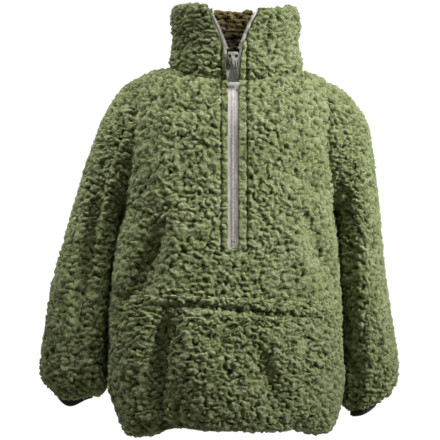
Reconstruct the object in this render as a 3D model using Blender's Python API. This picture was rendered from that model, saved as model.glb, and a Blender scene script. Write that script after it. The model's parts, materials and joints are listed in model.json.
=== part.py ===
# A half-zip pullover in curly pile fleece, hollow as it is worn, with its arms hanging.
# Metres, +Z up, the front towards -Y. The origin is the middle of the neck base.

import bmesh
import bpy
import math
from mathutils import Vector

# Cloth
FLEECE = 0.005          # backing and pile of one layer
COLLAR_WALL = 0.011     # two layers, folded at the top edge
BINDING = 0.0025        # elastic binding at the cuffs
TAPE = 0.001
SEAM_GAP = 0.0003

# Cut of the body
CHEST_HEIGHT = -0.134   # widest level of the armholes
ARMHOLE_RISE = 0.116    # from that level to the shoulder tip, and down to the armpit
ARMHOLE_FRONT = 0.072
ARMHOLE_BACK = 0.082
SHOULDER_TIP = {-1: 0.163, 1: 0.165}
ARMPIT = {-1: 0.188, 1: 0.174}
NECK_SIDE = {-1: 0.110, 1: 0.122}
NECK_FRONT = 0.088
NECK_BACK = 0.070
NECK_FRONT_HEIGHT = -0.019
NECK_SIDE_HEIGHT = 0.002
NECK_BACK_HEIGHT = 0.010
SLIT_HALF = 0.0098

# Grids: segments of each half panel, inside and beside the pocket's edge lines
FRONT_SEGMENTS = 14
POCKET_SEGMENTS = 10
FRONT_NECK_SEGMENTS = 9
BACK_SEGMENTS = 10
BACK_NECK_SEGMENTS = 6
ARMHOLE_TURNS = (-90, -64, -46, -30, -15, 0)    # from the armpit up to the chest
DOME_STEPS = 7

# Body sections below the armpits: height, half-width left and right, depth front and back,
# and the power that squares the section, 2 for an ellipse
BODY_SECTIONS = (
    (-0.660, 0.2120, 0.1940, 0.153, 0.138, 2.5),
    (-0.574, 0.2165, 0.1970, 0.156, 0.139, 2.5),
    (-0.539, 0.2235, 0.1985, 0.158, 0.142, 2.5),
    (-0.469, 0.2245, 0.1985, 0.158, 0.142, 2.5),
    (-0.399, 0.2225, 0.1980, 0.155, 0.138, 2.5),
    (-0.312, 0.2100, 0.1890, 0.150, 0.132, 2.6),
    (-0.250, 0.1880, 0.1740, 0.144, 0.129, 3.0),
    (-0.134, 0.1780, 0.1760, 0.130, 0.124, 2.6),
)

# The gathered hem rolls under: height, how far the roll is drawn in
HEM_ROLL = (
    (-0.604, 0.050),
    (-0.618, 0.048),
    (-0.629, 0.039),
    (-0.6325, 0.027),
    (-0.627, 0.015),
    (-0.612, 0.006),
    (-0.592, 0.001),
    (-0.570, 0.000),
)
ROLL_CENTRE = (-0.607, 0.027)
HEM_REACH = 0.110       # the lobes of the hem fade out this far above its fold

# Heights of the plain rows from the hem roll up to the armpit
PLAIN_ROWS = (
    -0.547, -0.523, -0.499, -0.475, -0.452, -0.434, -0.4215, -0.4095, -0.398,
    -0.378, -0.356, -0.334, -0.3115, -0.291, -0.270,
)
ZIP_BOTTOM_ROW = -0.3115
POCKET_TOP_ROW = -0.398
POCKET_BOTTOM_ROW = 4

# Where the pocket's slanted mouth lies on half of the front: height, share of the half
POCKET_EDGE = (
    (-0.640, 0.82),
    (-0.600, 0.82),
    (-0.530, 0.78),
    (-0.480, 0.71),
    (-0.450, 0.66),
    (-0.400, 0.61),
    (-0.240, 0.66),
    (-0.134, 0.72),
)

# Lobes of the gathered hem round the girth, 0 at centre front, +-1 at centre back:
# place, half-width, drop, outward bulge
HEM_LOBES = (
    (-0.295, 0.075, 0.009, 0.006),
    (-0.150, 0.050, -0.010, -0.007),
    (0.030, 0.090, 0.000, 0.004),
    (0.180, 0.045, -0.007, -0.006),
    (0.262, 0.050, 0.006, 0.005),
    (0.370, 0.040, -0.005, -0.004),
    (0.455, 0.045, 0.005, 0.004),
    (0.560, 0.040, -0.006, -0.006),
    (0.660, 0.050, 0.006, 0.006),
    (0.775, 0.045, -0.008, -0.006),
    (0.890, 0.060, 0.005, 0.005),
    (-0.950, 0.045, -0.006, -0.006),
    (-0.820, 0.060, 0.007, 0.006),
    (-0.690, 0.045, -0.007, -0.006),
    (-0.580, 0.050, 0.006, 0.005),
    (-0.470, 0.040, -0.005, -0.005),
    (-0.395, 0.035, 0.004, 0.004),
)

# The hanging sleeves press the sides in: side, top, bottom, depth into the body, across
SLEEVE_DENTS = (
    (-1, -0.262, -0.640, 0.015, 0.050),
    (1, -0.262, -0.640, 0.022, 0.050),
)
DENT_CENTRE = 0.020

# Folds seen from the front or the back: start, middle and end as x, z, then half-width and depth
FRONT_FOLDS = (
    (-0.118, -0.235, -0.145, -0.334, -0.186, -0.430, 0.013, -0.017),
    (-0.092, -0.250, -0.114, -0.330, -0.136, -0.400, 0.016, 0.007),
    (0.115, -0.235, 0.152, -0.317, 0.170, -0.400, 0.012, -0.013),
    (0.085, -0.250, 0.120, -0.330, 0.140, -0.390, 0.016, 0.006),
    (-0.096, -0.410, -0.126, -0.500, -0.137, -0.600, 0.014, -0.018),
    (-0.150, -0.430, -0.168, -0.510, -0.168, -0.600, 0.014, 0.007),
    (0.036, -0.470, 0.058, -0.534, 0.078, -0.615, 0.011, -0.011),
    (-0.112, -0.540, -0.100, -0.585, -0.084, -0.630, 0.009, -0.008),
    (-0.040, -0.430, -0.050, -0.500, -0.030, -0.570, 0.030, 0.005),
    (-0.120, -0.072, -0.072, -0.073, -0.022, -0.066, 0.008, -0.003),
    (0.086, -0.172, 0.120, -0.195, 0.152, -0.220, 0.009, -0.004),
    (-0.125, -0.130, -0.130, -0.190, -0.115, -0.250, 0.016, 0.004),
    (0.060, -0.120, 0.080, -0.170, 0.075, -0.220, 0.020, 0.003),
)
BACK_FOLDS = (
    (0.060, -0.090, 0.085, -0.200, 0.070, -0.330, 0.014, -0.006),
    (-0.050, -0.120, -0.085, -0.260, -0.125, -0.400, 0.014, -0.009),
    (0.085, -0.260, 0.130, -0.380, 0.110, -0.520, 0.013, -0.010),
    (-0.020, -0.350, 0.005, -0.460, -0.020, -0.590, 0.012, -0.008),
    (0.070, -0.450, 0.055, -0.530, 0.062, -0.615, 0.011, -0.008),
    (-0.125, -0.450, -0.108, -0.540, -0.112, -0.620, 0.013, -0.011),
    (0.020, -0.180, 0.015, -0.300, 0.030, -0.430, 0.030, 0.005),
    (-0.065, -0.420, -0.060, -0.500, -0.065, -0.580, 0.020, 0.005),
    (-0.070, -0.045, 0.000, -0.062, 0.070, -0.045, 0.010, -0.004),
    (0.150, -0.420, 0.152, -0.500, 0.145, -0.590, 0.014, -0.008),
)

# The pocket's turned top band, the groove below it and its own slack:
# start, middle and end as x, z, then half-width and height
POCKET_FORMS = (
    (-0.300, -0.408, 0.000, -0.408, 0.300, -0.411, 0.0080, 0.0050),
    (-0.300, -0.423, 0.000, -0.423, 0.300, -0.425, 0.0060, -0.0026),
    (0.060, -0.440, 0.090, -0.500, 0.110, -0.570, 0.030, 0.004),
    (-0.060, -0.450, -0.050, -0.520, -0.020, -0.590, 0.026, 0.004),
)
POCKET_LIFT = 0.0004    # the pocket lies this far off the front
MOUTH_LIFT = 0.0022     # and this much further at its slanted mouths

# Sleeve rings from the armhole to the cuff: outer point x, z, inner point x, z, depth, middle y
LEFT_SLEEVE = (
    (0.1630, -0.0180, 0.1880, -0.2500, 0.077, 0.005),
    (0.1850, -0.0250, 0.1915, -0.2472, 0.078, 0.005),
    (0.2030, -0.0400, 0.1960, -0.2470, 0.079, 0.005),
    (0.2170, -0.0600, 0.2005, -0.2505, 0.080, 0.006),
    (0.2300, -0.0850, 0.2040, -0.2570, 0.080, 0.007),
    (0.2420, -0.1150, 0.2060, -0.2670, 0.080, 0.008),
    (0.2540, -0.1500, 0.2070, -0.2800, 0.079, 0.009),
    (0.2670, -0.1900, 0.2070, -0.2950, 0.078, 0.010),
    (0.2800, -0.2350, 0.2080, -0.3140, 0.077, 0.010),
    (0.2930, -0.2800, 0.2100, -0.3380, 0.076, 0.010),
    (0.3060, -0.3250, 0.2135, -0.3650, 0.076, 0.009),
    (0.3190, -0.3720, 0.2165, -0.3950, 0.077, 0.008),
    (0.3270, -0.4180, 0.2190, -0.4260, 0.078, 0.006),
    (0.3330, -0.4620, 0.2205, -0.4580, 0.080, 0.004),
    (0.3370, -0.5000, 0.2210, -0.4900, 0.081, 0.002),
    (0.3390, -0.5270, 0.2205, -0.5180, 0.080, 0.000),
    (0.3370, -0.5440, 0.2200, -0.5420, 0.076, 0.000),
    (0.3300, -0.5550, 0.2240, -0.5600, 0.067, 0.000),
    (0.3230, -0.5590, 0.2360, -0.5700, 0.054, 0.000),
    (0.3170, -0.5580, 0.2480, -0.5720, 0.042, 0.000),
)
RIGHT_SLEEVE = (
    (0.1650, -0.0180, 0.1740, -0.2500, 0.077, 0.005),
    (0.1870, -0.0285, 0.1775, -0.2472, 0.078, 0.006),
    (0.2070, -0.0470, 0.1820, -0.2470, 0.079, 0.008),
    (0.2220, -0.0700, 0.1865, -0.2505, 0.079, 0.010),
    (0.2340, -0.0960, 0.1895, -0.2570, 0.079, 0.012),
    (0.2430, -0.1280, 0.1910, -0.2670, 0.078, 0.014),
    (0.2495, -0.1650, 0.1905, -0.2800, 0.077, 0.016),
    (0.2550, -0.2050, 0.1885, -0.2950, 0.076, 0.017),
    (0.2600, -0.2500, 0.1860, -0.3140, 0.075, 0.018),
    (0.2640, -0.3000, 0.1845, -0.3380, 0.075, 0.018),
    (0.2680, -0.3450, 0.1845, -0.3650, 0.075, 0.018),
    (0.2740, -0.3900, 0.1855, -0.3960, 0.076, 0.018),
    (0.2805, -0.4350, 0.1885, -0.4300, 0.077, 0.018),
    (0.2870, -0.4750, 0.1900, -0.4640, 0.078, 0.018),
    (0.2920, -0.5080, 0.1905, -0.4970, 0.079, 0.018),
    (0.2940, -0.5320, 0.1900, -0.5260, 0.077, 0.018),
    (0.2880, -0.5490, 0.1900, -0.5520, 0.072, 0.016),
    (0.2770, -0.5610, 0.1925, -0.5740, 0.063, 0.012),
    (0.2640, -0.5700, 0.1990, -0.5870, 0.050, 0.008),
    (0.2530, -0.5720, 0.2060, -0.5890, 0.039, 0.004),
)
SLEEVES = {-1: LEFT_SLEEVE, 1: RIGHT_SLEEVE}
GATHERS = 9
GATHER_DEPTH = 0.0035
BINDING_DROP = 0.0085   # how far it shows below the sleeve's edge
BINDING_TUCK = 0.0008

# Folds of the sleeves: side, then start, middle and end as ring number and degrees round the
# ring (-90 at the inner side, 0 in front, 90 at the outer side, 180 behind), half-width, depth
SLEEVE_FOLDS = (
    (-1, 3.0, 14, 9.0, 0, 16.5, -16, 0.018, -0.017),
    (-1, 8.0, -44, 12.0, -50, 17.0, -52, 0.015, 0.006),
    (-1, 5.0, 60, 10.0, 52, 15.0, 56, 0.024, 0.004),
    (-1, 6.0, 150, 10.0, 168, 15.0, 160, 0.014, -0.009),
    (-1, 9.0, 215, 12.0, 200, 15.5, 212, 0.012, -0.007),
    (-1, 13.0, 40, 15.0, 20, 17.5, 25, 0.010, -0.006),
    (-1, 12.0, 110, 14.0, 126, 17.0, 118, 0.013, -0.006),
    (1, 4.0, -36, 9.0, -30, 13.0, -34, 0.012, -0.006),
    (1, 11.0, -52, 14.0, -36, 17.5, -14, 0.012, -0.011),
    (1, 6.0, 30, 11.0, 26, 16.0, 34, 0.026, 0.004),
    (1, 5.0, 150, 9.0, 140, 14.0, 152, 0.014, -0.009),
    (1, 8.0, 205, 12.0, 222, 16.0, 208, 0.013, -0.008),
    (1, 13.0, 96, 15.5, 84, 17.5, 92, 0.012, -0.006),
    (1, 12.0, 176, 14.5, 186, 17.5, 176, 0.012, -0.007),
)

# Collar: share of its height, half-width left and right, depth front and back
COLLAR_TOP = 0.118
COLLAR_SECTIONS = (
    (0.00, 0.1100, 0.1220, 0.088, 0.070),
    (0.10, 0.1115, 0.1235, 0.090, 0.072),
    (0.20, 0.1100, 0.1220, 0.091, 0.073),
    (0.32, 0.1060, 0.1160, 0.091, 0.073),
    (0.45, 0.1050, 0.1140, 0.090, 0.074),
    (0.58, 0.1070, 0.1170, 0.090, 0.075),
    (0.70, 0.1085, 0.1190, 0.091, 0.076),
    (0.82, 0.1090, 0.1175, 0.092, 0.077),
    (0.92, 0.1075, 0.1145, 0.091, 0.076),
    (1.00, 0.1010, 0.1060, 0.086, 0.071),
)
# Front edges of the collar: height, distance from the centre line
COLLAR_EDGE = (
    (-0.0190, 0.0098),
    (0.0000, 0.0128),
    (0.0200, 0.0142),
    (0.0360, 0.0152),
    (0.0450, 0.0185),
    (0.0600, 0.0245),
    (0.0800, 0.0335),
    (0.1000, 0.0430),
    (0.1180, 0.0500),
)
# Inner edges of the zip tapes: height, distance from the centre line
TAPE_EDGE = (
    (-0.3200, 0.0033),
    (-0.0150, 0.0033),
    (-0.0050, 0.0042),
    (0.0084, 0.0078),
    (0.0220, 0.0102),
    (0.0360, 0.0104),
    (0.0600, 0.0196),
    (0.0800, 0.0286),
    (0.1000, 0.0380),
    (0.1180, 0.0450),
)
COLLAR_FOLDS = (
    (-0.034, -0.015, -0.030, 0.030, -0.058, 0.110, 0.010, -0.004),
    (0.036, -0.015, 0.036, 0.030, 0.068, 0.100, 0.010, -0.005),
)

# Zip
TAPE_SINK = 0.0028
TAPE_END = -0.3105
TAPE_TOP = 0.1060
TAPE_GAP = 0.0005
CHAIN_HALF = 0.003
CHAIN_THICK = 0.0024
CHAIN_SINK = 0.0022
CHAIN_BOTTOM = -0.300
OPEN_CHAIN_HEIGHT = 0.036
SLIDER_TOP = 0.0315
SLIDER_BOTTOM = 0.0035
SLIDER_TOP_HALF = 0.0095
SLIDER_BOTTOM_HALF = 0.0056
SLIDER_FACE = -0.0935
SLIDER_THICK = 0.0085
CROWN_HALF = 0.0022
CROWN_THICK = 0.0022
CROWN_SPACE = 0.0036
CROWN_TOP = 0.0222
CROWN_BOTTOM = 0.0085
TAB_THICK = 0.0020
TAB_LENGTH = 0.0435
TAB_TOP_HALF = 0.0050
TAB_END_HALF = 0.0110
TAB_LEG = 0.0020
TAB_HOLE_END = 0.0100
TAB_TILT = math.radians(8.0)
PIVOT_Z = 0.0140
PIVOT_Y = SLIDER_FACE - CROWN_SPACE + TAB_THICK / 2 + 0.0004

GREEN = (0.235, 0.275, 0.135)
DARK = (0.020, 0.022, 0.018)
SILVER_TAPE = (0.62, 0.60, 0.60)


def material(name, colour, roughness=0.9, metallic=0.0):
    surface = bpy.data.materials.new(name)
    surface.use_nodes = True
    shader = surface.node_tree.nodes["Principled BSDF"]
    shader.inputs["Base Color"].default_value = (*colour, 1.0)
    shader.inputs["Roughness"].default_value = roughness
    shader.inputs["Metallic"].default_value = metallic
    return surface


def eased(share):
    share = min(max(share, 0.0), 1.0)
    return share * share * (3.0 - 2.0 * share)


def read_table(rows, key, column):
    """One column of a table at a key, on a smooth curve through its rising rows."""
    if key <= rows[0][0]:
        return rows[0][column]
    if key >= rows[-1][0]:
        return rows[-1][column]
    low = max(i for i in range(len(rows) - 1) if rows[i][0] <= key)
    a, b = rows[low], rows[low + 1]
    before = rows[max(low - 1, 0)]
    after = rows[min(low + 2, len(rows) - 1)]
    span = b[0] - a[0]
    slope_a = (b[column] - before[column]) / (b[0] - before[0]) * span
    slope_b = (after[column] - a[column]) / (after[0] - a[0]) * span
    t = (key - a[0]) / span
    return (a[column] * (2 * t**3 - 3 * t**2 + 1) + slope_a * (t**3 - 2 * t**2 + t)
            + b[column] * (3 * t**2 - 2 * t**3) + slope_b * (t**3 - t**2))


def fold_height(folds, x, z):
    """How far the folds lift or sink a point that is seen at x, z."""
    total = 0.0
    for x0, z0, x1, z1, x2, z2, half_width, depth in folds:
        if not min(x0, x1, x2) - 0.06 < x < max(x0, x1, x2) + 0.06:
            continue
        best, at = 1.0, 0.0
        for step in range(13):
            t = step / 12
            bend = 4 * t * (1 - t)
            px = x0 + (x2 - x0) * t + (x1 - (x0 + x2) / 2) * bend
            pz = z0 + (z2 - z0) * t + (z1 - (z0 + z2) / 2) * bend
            distance = math.hypot(x - px, z - pz)
            if distance < best:
                best, at = distance, t
        total += depth * math.exp(-(best / half_width) ** 2) * (0.25 + 3 * at * (1 - at))
    return total


def hem_lobe(girth, column):
    total = 0.0
    for lobe in HEM_LOBES:
        distance = abs(girth - lobe[0])
        distance = min(distance, 2.0 - distance)
        total += lobe[column] * math.exp(-(distance / lobe[1]) ** 2)
    return total


def resampled(points, lengths):
    """Points at the given shares of a line, after its start."""
    reach = [0.0]
    for a, b in zip(points, points[1:]):
        reach.append(reach[-1] + (b - a).length)
    result = []
    index = 0
    for share in lengths:
        wanted = share * reach[-1]
        while index < len(points) - 2 and reach[index + 1] < wanted:
            index += 1
        t = (wanted - reach[index]) / (reach[index + 1] - reach[index])
        result.append(points[index].lerp(points[index + 1], min(max(t, 0.0), 1.0)))
    return result


def armhole_point(side, face, turn):
    """A point of the armhole: turn -90 at the armpit, 0 at the chest, 90 at the shoulder tip."""
    rise = math.sin(math.radians(turn))
    low, high = ARMPIT[side], SHOULDER_TIP[side]
    depth = ARMHOLE_FRONT if face < 0 else ARMHOLE_BACK
    return Vector((
        side * (low + high + (high - low) * rise) / 2,
        face * depth * math.cos(math.radians(turn)),
        CHEST_HEIGHT + ARMHOLE_RISE * rise,
    ))


def armhole_outward(side, face, turn):
    """Across the cloth at the armhole seam, mitred between body and sleeve near the armpit."""
    angle = math.radians(turn)
    mitre = max(-math.sin(angle), 0.0) ** 1.5
    return Vector((side * mitre, face * math.cos(angle), math.sin(angle)))


def half_section(side, face, height, inset, edge):
    """Half of a body section from the centre line to the point called edge."""
    depth = read_table(BODY_SECTIONS, height, 3 if face < 0 else 4) - inset
    power = read_table(BODY_SECTIONS, height, 5)
    width = edge.x * side / (1 - (abs(edge.y) / depth) ** power) ** (1 / power)
    last = math.pi / 2
    if abs(edge.y) > 1e-9:
        last = math.atan2((edge.x * side / width) ** (power / 2),
                          (abs(edge.y) / depth) ** (power / 2))
    line = []
    for step in range(81):
        angle = last * step / 80
        line.append(Vector((
            side * width * math.sin(angle) ** (2 / power),
            face * depth * max(math.cos(angle), 0.0) ** (2 / power),
            height,
        )))
    line[-1] = edge.copy()
    return line


def cut_at(line, x):
    """The part of a line beyond |x|, so that a slit's edge runs straight."""
    for index, point in enumerate(line):
        if abs(point.x) >= x:
            before = line[index - 1]
            t = (x - abs(before.x)) / (abs(point.x) - abs(before.x))
            return [before.lerp(point, t)] + line[index:]
    return line


def column_shares(face, height):
    """Shares of the half section at which the columns lie."""
    if face > 0:
        return [i / BACK_SEGMENTS for i in range(BACK_SEGMENTS + 1)]
    edge = read_table(POCKET_EDGE, height, 1)
    inside = [edge * i / POCKET_SEGMENTS for i in range(POCKET_SEGMENTS)]
    beside = FRONT_SEGMENTS - POCKET_SEGMENTS
    return inside + [edge + (1 - edge) * i / beside for i in range(beside + 1)]


def press_side(point, side):
    """Push a point of the body in where the sleeve hangs against it."""
    for dent_side, top, bottom, depth, across in SLEEVE_DENTS:
        if dent_side != side:
            continue
        along = eased((top - point.z) / 0.05) * eased((point.z - bottom) / 0.06)
        beside = eased((abs(point.x) - 0.10) / 0.07)
        amount = depth * along * beside * math.exp(-((point.y - DENT_CENTRE) / across) ** 2)
        point.x -= side * amount


def neck_point(side, face, x):
    """A point of the neckline at a distance x from the centre line."""
    across = min(x / NECK_SIDE[side], 1.0)
    depth = NECK_FRONT if face < 0 else NECK_BACK
    middle = NECK_FRONT_HEIGHT if face < 0 else NECK_BACK_HEIGHT
    level = 1 - across * across
    return Vector((
        side * x,
        face * depth * math.sqrt(level),
        NECK_SIDE_HEIGHT + (middle - NECK_SIDE_HEIGHT) * level,
    ))


def neck_way(point, straight):
    """Across the cloth at the neckline, halfway between the shoulder and the standing collar."""
    side = 1 if point.x >= 0 else -1
    depth = NECK_FRONT if point.y < 0 else NECK_BACK
    flat = Vector((point.x / NECK_SIDE[side] ** 2, point.y / depth ** 2, 0.0)).normalized()
    if straight:
        flat = Vector((0.0, math.copysign(1.0, point.y), 0.0))
    return (flat + Vector((0.0, 0.0, 0.40 + 0.32 * flat.x ** 2))).normalized()


def top_edge(side, face):
    """The neckline from the centre to its side, then the shoulder seam out to its tip."""
    start = SLIT_HALF if face < 0 else 0.0
    count = FRONT_NECK_SEGMENTS if face < 0 else BACK_NECK_SEGMENTS
    total = FRONT_SEGMENTS if face < 0 else BACK_SEGMENTS
    begin = math.asin(start / NECK_SIDE[side])
    line = []
    for i in range(121):
        angle = begin + (math.pi / 2 - begin) * i / 120
        line.append(neck_point(side, face, NECK_SIDE[side] * math.sin(angle)))
    points = resampled(line, [i / count for i in range(count + 1)])
    tip = armhole_point(side, face, 90)
    corner = points[-1]
    for i in range(1, total - count + 1):
        t = i / (total - count)
        point = corner.lerp(tip, t)
        point.z += 0.003 * math.sin(math.pi * t)
        points.append(point)
    return points


def half_rows(side, face):
    """Rows of one half panel, hem first, each from the centre line to the seam."""
    rows = []
    start = SLIT_HALF if face < 0 else 0.0

    def add(height, inset, edge):
        line = half_section(side, face, height, inset, edge)
        if start:
            line = cut_at(line, start)
        row = resampled(line, column_shares(face, height))
        for point in row:
            press_side(point, side)
        rows.append(row)

    def width_at(height):
        return read_table(BODY_SECTIONS, height, 1 if side < 0 else 2)

    for height, inset in HEM_ROLL:
        add(height, inset, Vector((side * (width_at(height) - inset), 0.0, height)))
    for height in PLAIN_ROWS:
        add(height, 0.0, Vector((side * width_at(height), 0.0, height)))
    for turn in ARMHOLE_TURNS:
        edge = armhole_point(side, face, turn)
        if turn == ARMHOLE_TURNS[0]:
            edge.y = 0.0
        add(edge.z, 0.0, edge)

    chest = rows[-1]
    top = top_edge(side, face)
    top[-1].y = 0.0
    for step in range(1, DOME_STEPS + 1):
        row = []
        for low, high in zip(chest, top):
            end = math.acos(min(abs(high.y) / abs(low.y), 1.0))
            turn = end * step / DOME_STEPS
            share = math.sin(turn) / math.sin(end)
            row.append(Vector((
                low.x + (high.x - low.x) * share,
                low.y * math.cos(turn),
                low.z + (high.z - low.z) * share,
            )))
        rows.append(row)
    return rows


def grid_normals(grid, away, wrap=False):
    """Normals of a grid of points, turned the way that away(row, column) gives."""
    rows, columns = len(grid), len(grid[0])
    normals = []
    for r in range(rows):
        line = []
        for c in range(columns):
            if wrap:
                left, right = grid[r][(c - 1) % columns], grid[r][(c + 1) % columns]
            else:
                left, right = grid[r][max(c - 1, 0)], grid[r][min(c + 1, columns - 1)]
            below, above = grid[max(r - 1, 0)][c], grid[min(r + 1, rows - 1)][c]
            normal = (right - left).cross(above - below).normalized()
            if normal.dot(away(r, c)) < 0:
                normal.negate()
            line.append(normal)
        normals.append(line)
    return normals


def wall(name, outer, inner, surface, wrap=False, hole=None):
    """A closed wall between two grids of points, with rims along every free edge.

    A rim is split from its lower outer corner, so that two rims at a seam split alike.
    """
    rows, columns = len(outer), len(outer[0])
    mesh = bmesh.new()
    skins = [[[mesh.verts.new(p) for p in row] for row in skin] for skin in (outer, inner)]
    edges = {}
    for r in range(rows - 1):
        for c in range(columns if wrap else columns - 1):
            if hole and hole(r, c):
                continue
            d = (c + 1) % columns
            corners = ((r, c), (r, d), (r + 1, d), (r + 1, c))
            for skin in skins:
                a, b, e, f = (skin[i][j] for i, j in corners)
                mesh.faces.new((a, b, e))
                mesh.faces.new((a, e, f))
            for pair in zip(corners, corners[1:] + corners[:1]):
                edges.setdefault(frozenset(pair), []).append(pair)
    for pairs in edges.values():
        if len(pairs) == 1:
            (r0, c0), (r1, c1) = pairs[0]
            a, b = skins[0][r0][c0], skins[0][r1][c1]
            e, f = skins[1][r1][c1], skins[1][r0][c0]
            if a.co.z < b.co.z:
                mesh.faces.new((a, b, e))
                mesh.faces.new((a, e, f))
            else:
                mesh.faces.new((a, b, f))
                mesh.faces.new((b, e, f))
    for vertex in [v for v in mesh.verts if not v.link_faces]:
        mesh.verts.remove(vertex)
    return finished(name, mesh, surface)


def finished(name, mesh, surface):
    """Turn the faces outwards and make the named object."""
    bmesh.ops.recalc_face_normals(mesh, faces=mesh.faces)
    if mesh.calc_volume(signed=True) < 0:
        bmesh.ops.reverse_faces(mesh, faces=mesh.faces)
    data = bpy.data.meshes.new(name)
    mesh.to_mesh(data)
    mesh.free()
    data.shade_smooth()
    data.set_sharp_from_angle(angle=math.radians(50))
    data.materials.append(surface)
    piece = bpy.data.objects.new(name, data)
    bpy.context.scene.collection.objects.link(piece)
    return piece


def moved(grid, normals, distance):
    return [[p + n * distance for p, n in zip(row, line)] for row, line in zip(grid, normals)]


class Panel:
    """The outer and inner skins of the front or back, with what the next pieces need."""

    def __init__(self, face):
        self.face = face
        left, right = half_rows(-1, face), half_rows(1, face)
        self.half = len(left[0])
        skip = 0 if face < 0 else 1
        self.rows = [list(reversed(a)) + b[skip:] for a, b in zip(left, right)]
        self.columns = len(self.rows[0])
        self.armpit_row = len(HEM_ROLL) + len(PLAIN_ROWS)
        self.shape()
        self.thicken()

    def seam_share(self, c):
        """0 at the centre line, 1 at the side seam or armhole."""
        if self.face < 0:
            half = self.half
            return (half - 1 - c if c < half else c - half) / (half - 1)
        return abs(c - (self.half - 1)) / (self.half - 1)

    def side(self, c):
        return -1 if c < self.columns / 2 - 0.25 else 1

    def girth(self, c):
        share = self.seam_share(c) * self.side(c)
        return share / 2 if self.face < 0 else self.side(c) * (1 - abs(share) / 2)

    def away(self, r, c):
        point = self.rows[r][c]
        axis = Vector((0.0, 0.0, min(point.z, CHEST_HEIGHT)))
        if r < len(HEM_ROLL) - 1:
            height, inset = ROLL_CENTRE
            axis = point + Vector((point.x, point.y, 0.0)).normalized() * (HEM_ROLL[r][1] - inset)
            axis.z = height
        return point - axis

    def shape(self):
        folds = FRONT_FOLDS if self.face < 0 else BACK_FOLDS
        normals = grid_normals(self.rows, self.away)
        last = len(self.rows) - 1
        for r, row in enumerate(self.rows):
            top = 1 - eased((r - last + 3) / 3)
            hem = eased((r - 1) / 3)
            for c, point in enumerate(row):
                seam = 1 - eased((self.seam_share(c) - 0.80) / 0.20)
                lift = fold_height(folds, point.x, point.z) * top * seam * hem
                low = eased((HEM_ROLL[3][0] + HEM_REACH - point.z) / HEM_REACH)
                girth = self.girth(c)
                flat = Vector((point.x, point.y * 1.4, 0.0)).normalized()
                if r == 0 or r >= self.armpit_row:
                    low = 0.0 if r else 0.4
                point += normals[r][c] * lift + flat * hem_lobe(girth, 3) * low
                point.z -= hem_lobe(girth, 2) * low

    def thicken(self):
        self.normals = grid_normals(self.rows, self.away)
        last = len(self.rows) - 1
        for r in range(last + 1):
            for c in (0, self.columns - 1):
                self.rows[r][c].y = 0.0 if r <= self.armpit_row or r == last else self.rows[r][c].y
                self.normals[r][c].y = 0.0
                self.normals[r][c].normalize()
                if r >= self.armpit_row:
                    turn = self.armhole_turn(r)
                    self.normals[r][c] = armhole_outward(self.side(c), self.face, turn)
        neck = FRONT_NECK_SEGMENTS if self.face < 0 else BACK_NECK_SEGMENTS
        self.neck = neck
        top = self.rows[last]
        for c in range(self.columns):
            step = round(self.seam_share(c) * (self.half - 1))
            if step < neck + 0.5:
                self.normals[last][c] = neck_way(top[c], step == 0 and self.face < 0)
            elif c not in (0, self.columns - 1):
                self.normals[last][c] = self.shoulder_normal(self.side(c))
                top[c].y = 0.0
        self.inner = moved(self.rows, self.normals, -FLEECE)
        shift = Vector((0.0, self.face * SEAM_GAP / 2, 0.0))
        self.outer = [[p + shift for p in row] for row in self.rows]
        self.inner = [[p + shift for p in row] for row in self.inner]

    def shoulder_normal(self, side):
        """Square to the shoulder seam, the same on both panels."""
        corner, tip = neck_point(side, self.face, NECK_SIDE[side]), armhole_point(side, 1, 90)
        return Vector((side * (corner.z - tip.z), 0.0, side * (tip.x - corner.x))).normalized()

    def armhole_turn(self, r):
        step = r - self.armpit_row
        if step < len(ARMHOLE_TURNS):
            return ARMHOLE_TURNS[step]
        return 90 * (step + 1 - len(ARMHOLE_TURNS)) / DOME_STEPS

    def slit(self, r, c):
        """True for the cells that the zip's slit leaves out."""
        return (self.face < 0 and c == self.half - 1
                and r >= len(HEM_ROLL) + PLAIN_ROWS.index(ZIP_BOTTOM_ROW))


def make_pocket(front, surface):
    """The pocket, from the front's points moved out."""
    first = POCKET_BOTTOM_ROW
    last = len(HEM_ROLL) + PLAIN_ROWS.index(POCKET_TOP_ROW)
    near = front.half - 1 - POCKET_SEGMENTS
    far = front.half + POCKET_SEGMENTS
    inner, outer = [], []
    for r in range(first, last + 1):
        inner_row, outer_row = [], []
        for c in range(near, far + 1):
            base, normal = front.outer[r][c], front.normals[r][c]
            mouth = 1 - eased(min(c - near, far - c) / 2)
            sewn = eased(min(r - first, last - r) / 3)
            slack = 0.0010 * sewn * (1 - mouth)
            lift = POCKET_LIFT + (MOUTH_LIFT * mouth + slack) * sewn
            form = fold_height(POCKET_FORMS, base.x, base.z)
            inner_row.append(base + normal * lift)
            outer_row.append(base + normal * (lift + FLEECE + form * (0.5 + 0.5 * sewn)))
        inner.append(inner_row)
        outer.append(outer_row)
    wall("pocket", outer, inner, surface)


def sleeve_ring(side, number):
    """One ring of a sleeve, from the inner side round the front, the outer side and the back."""
    outer_x, outer_z, inner_x, inner_z, depth, middle = SLEEVES[side][number]
    centre = Vector((side * (outer_x + inner_x) / 2, middle, (outer_z + inner_z) / 2))
    half = Vector((side * (outer_x - inner_x) / 2, 0.0, (outer_z - inner_z) / 2))
    ring = []
    for turn in ring_turns():
        angle = math.radians(turn)
        ring.append(centre + half * math.sin(angle) - Vector((0.0, depth * math.cos(angle), 0.0)))
    return centre, ring


def ring_turns():
    front = list(ARMHOLE_TURNS) + [90 * i / DOME_STEPS for i in range(1, DOME_STEPS + 1)]
    return front + [180 - turn for turn in reversed(front[1:-1])]


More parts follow.
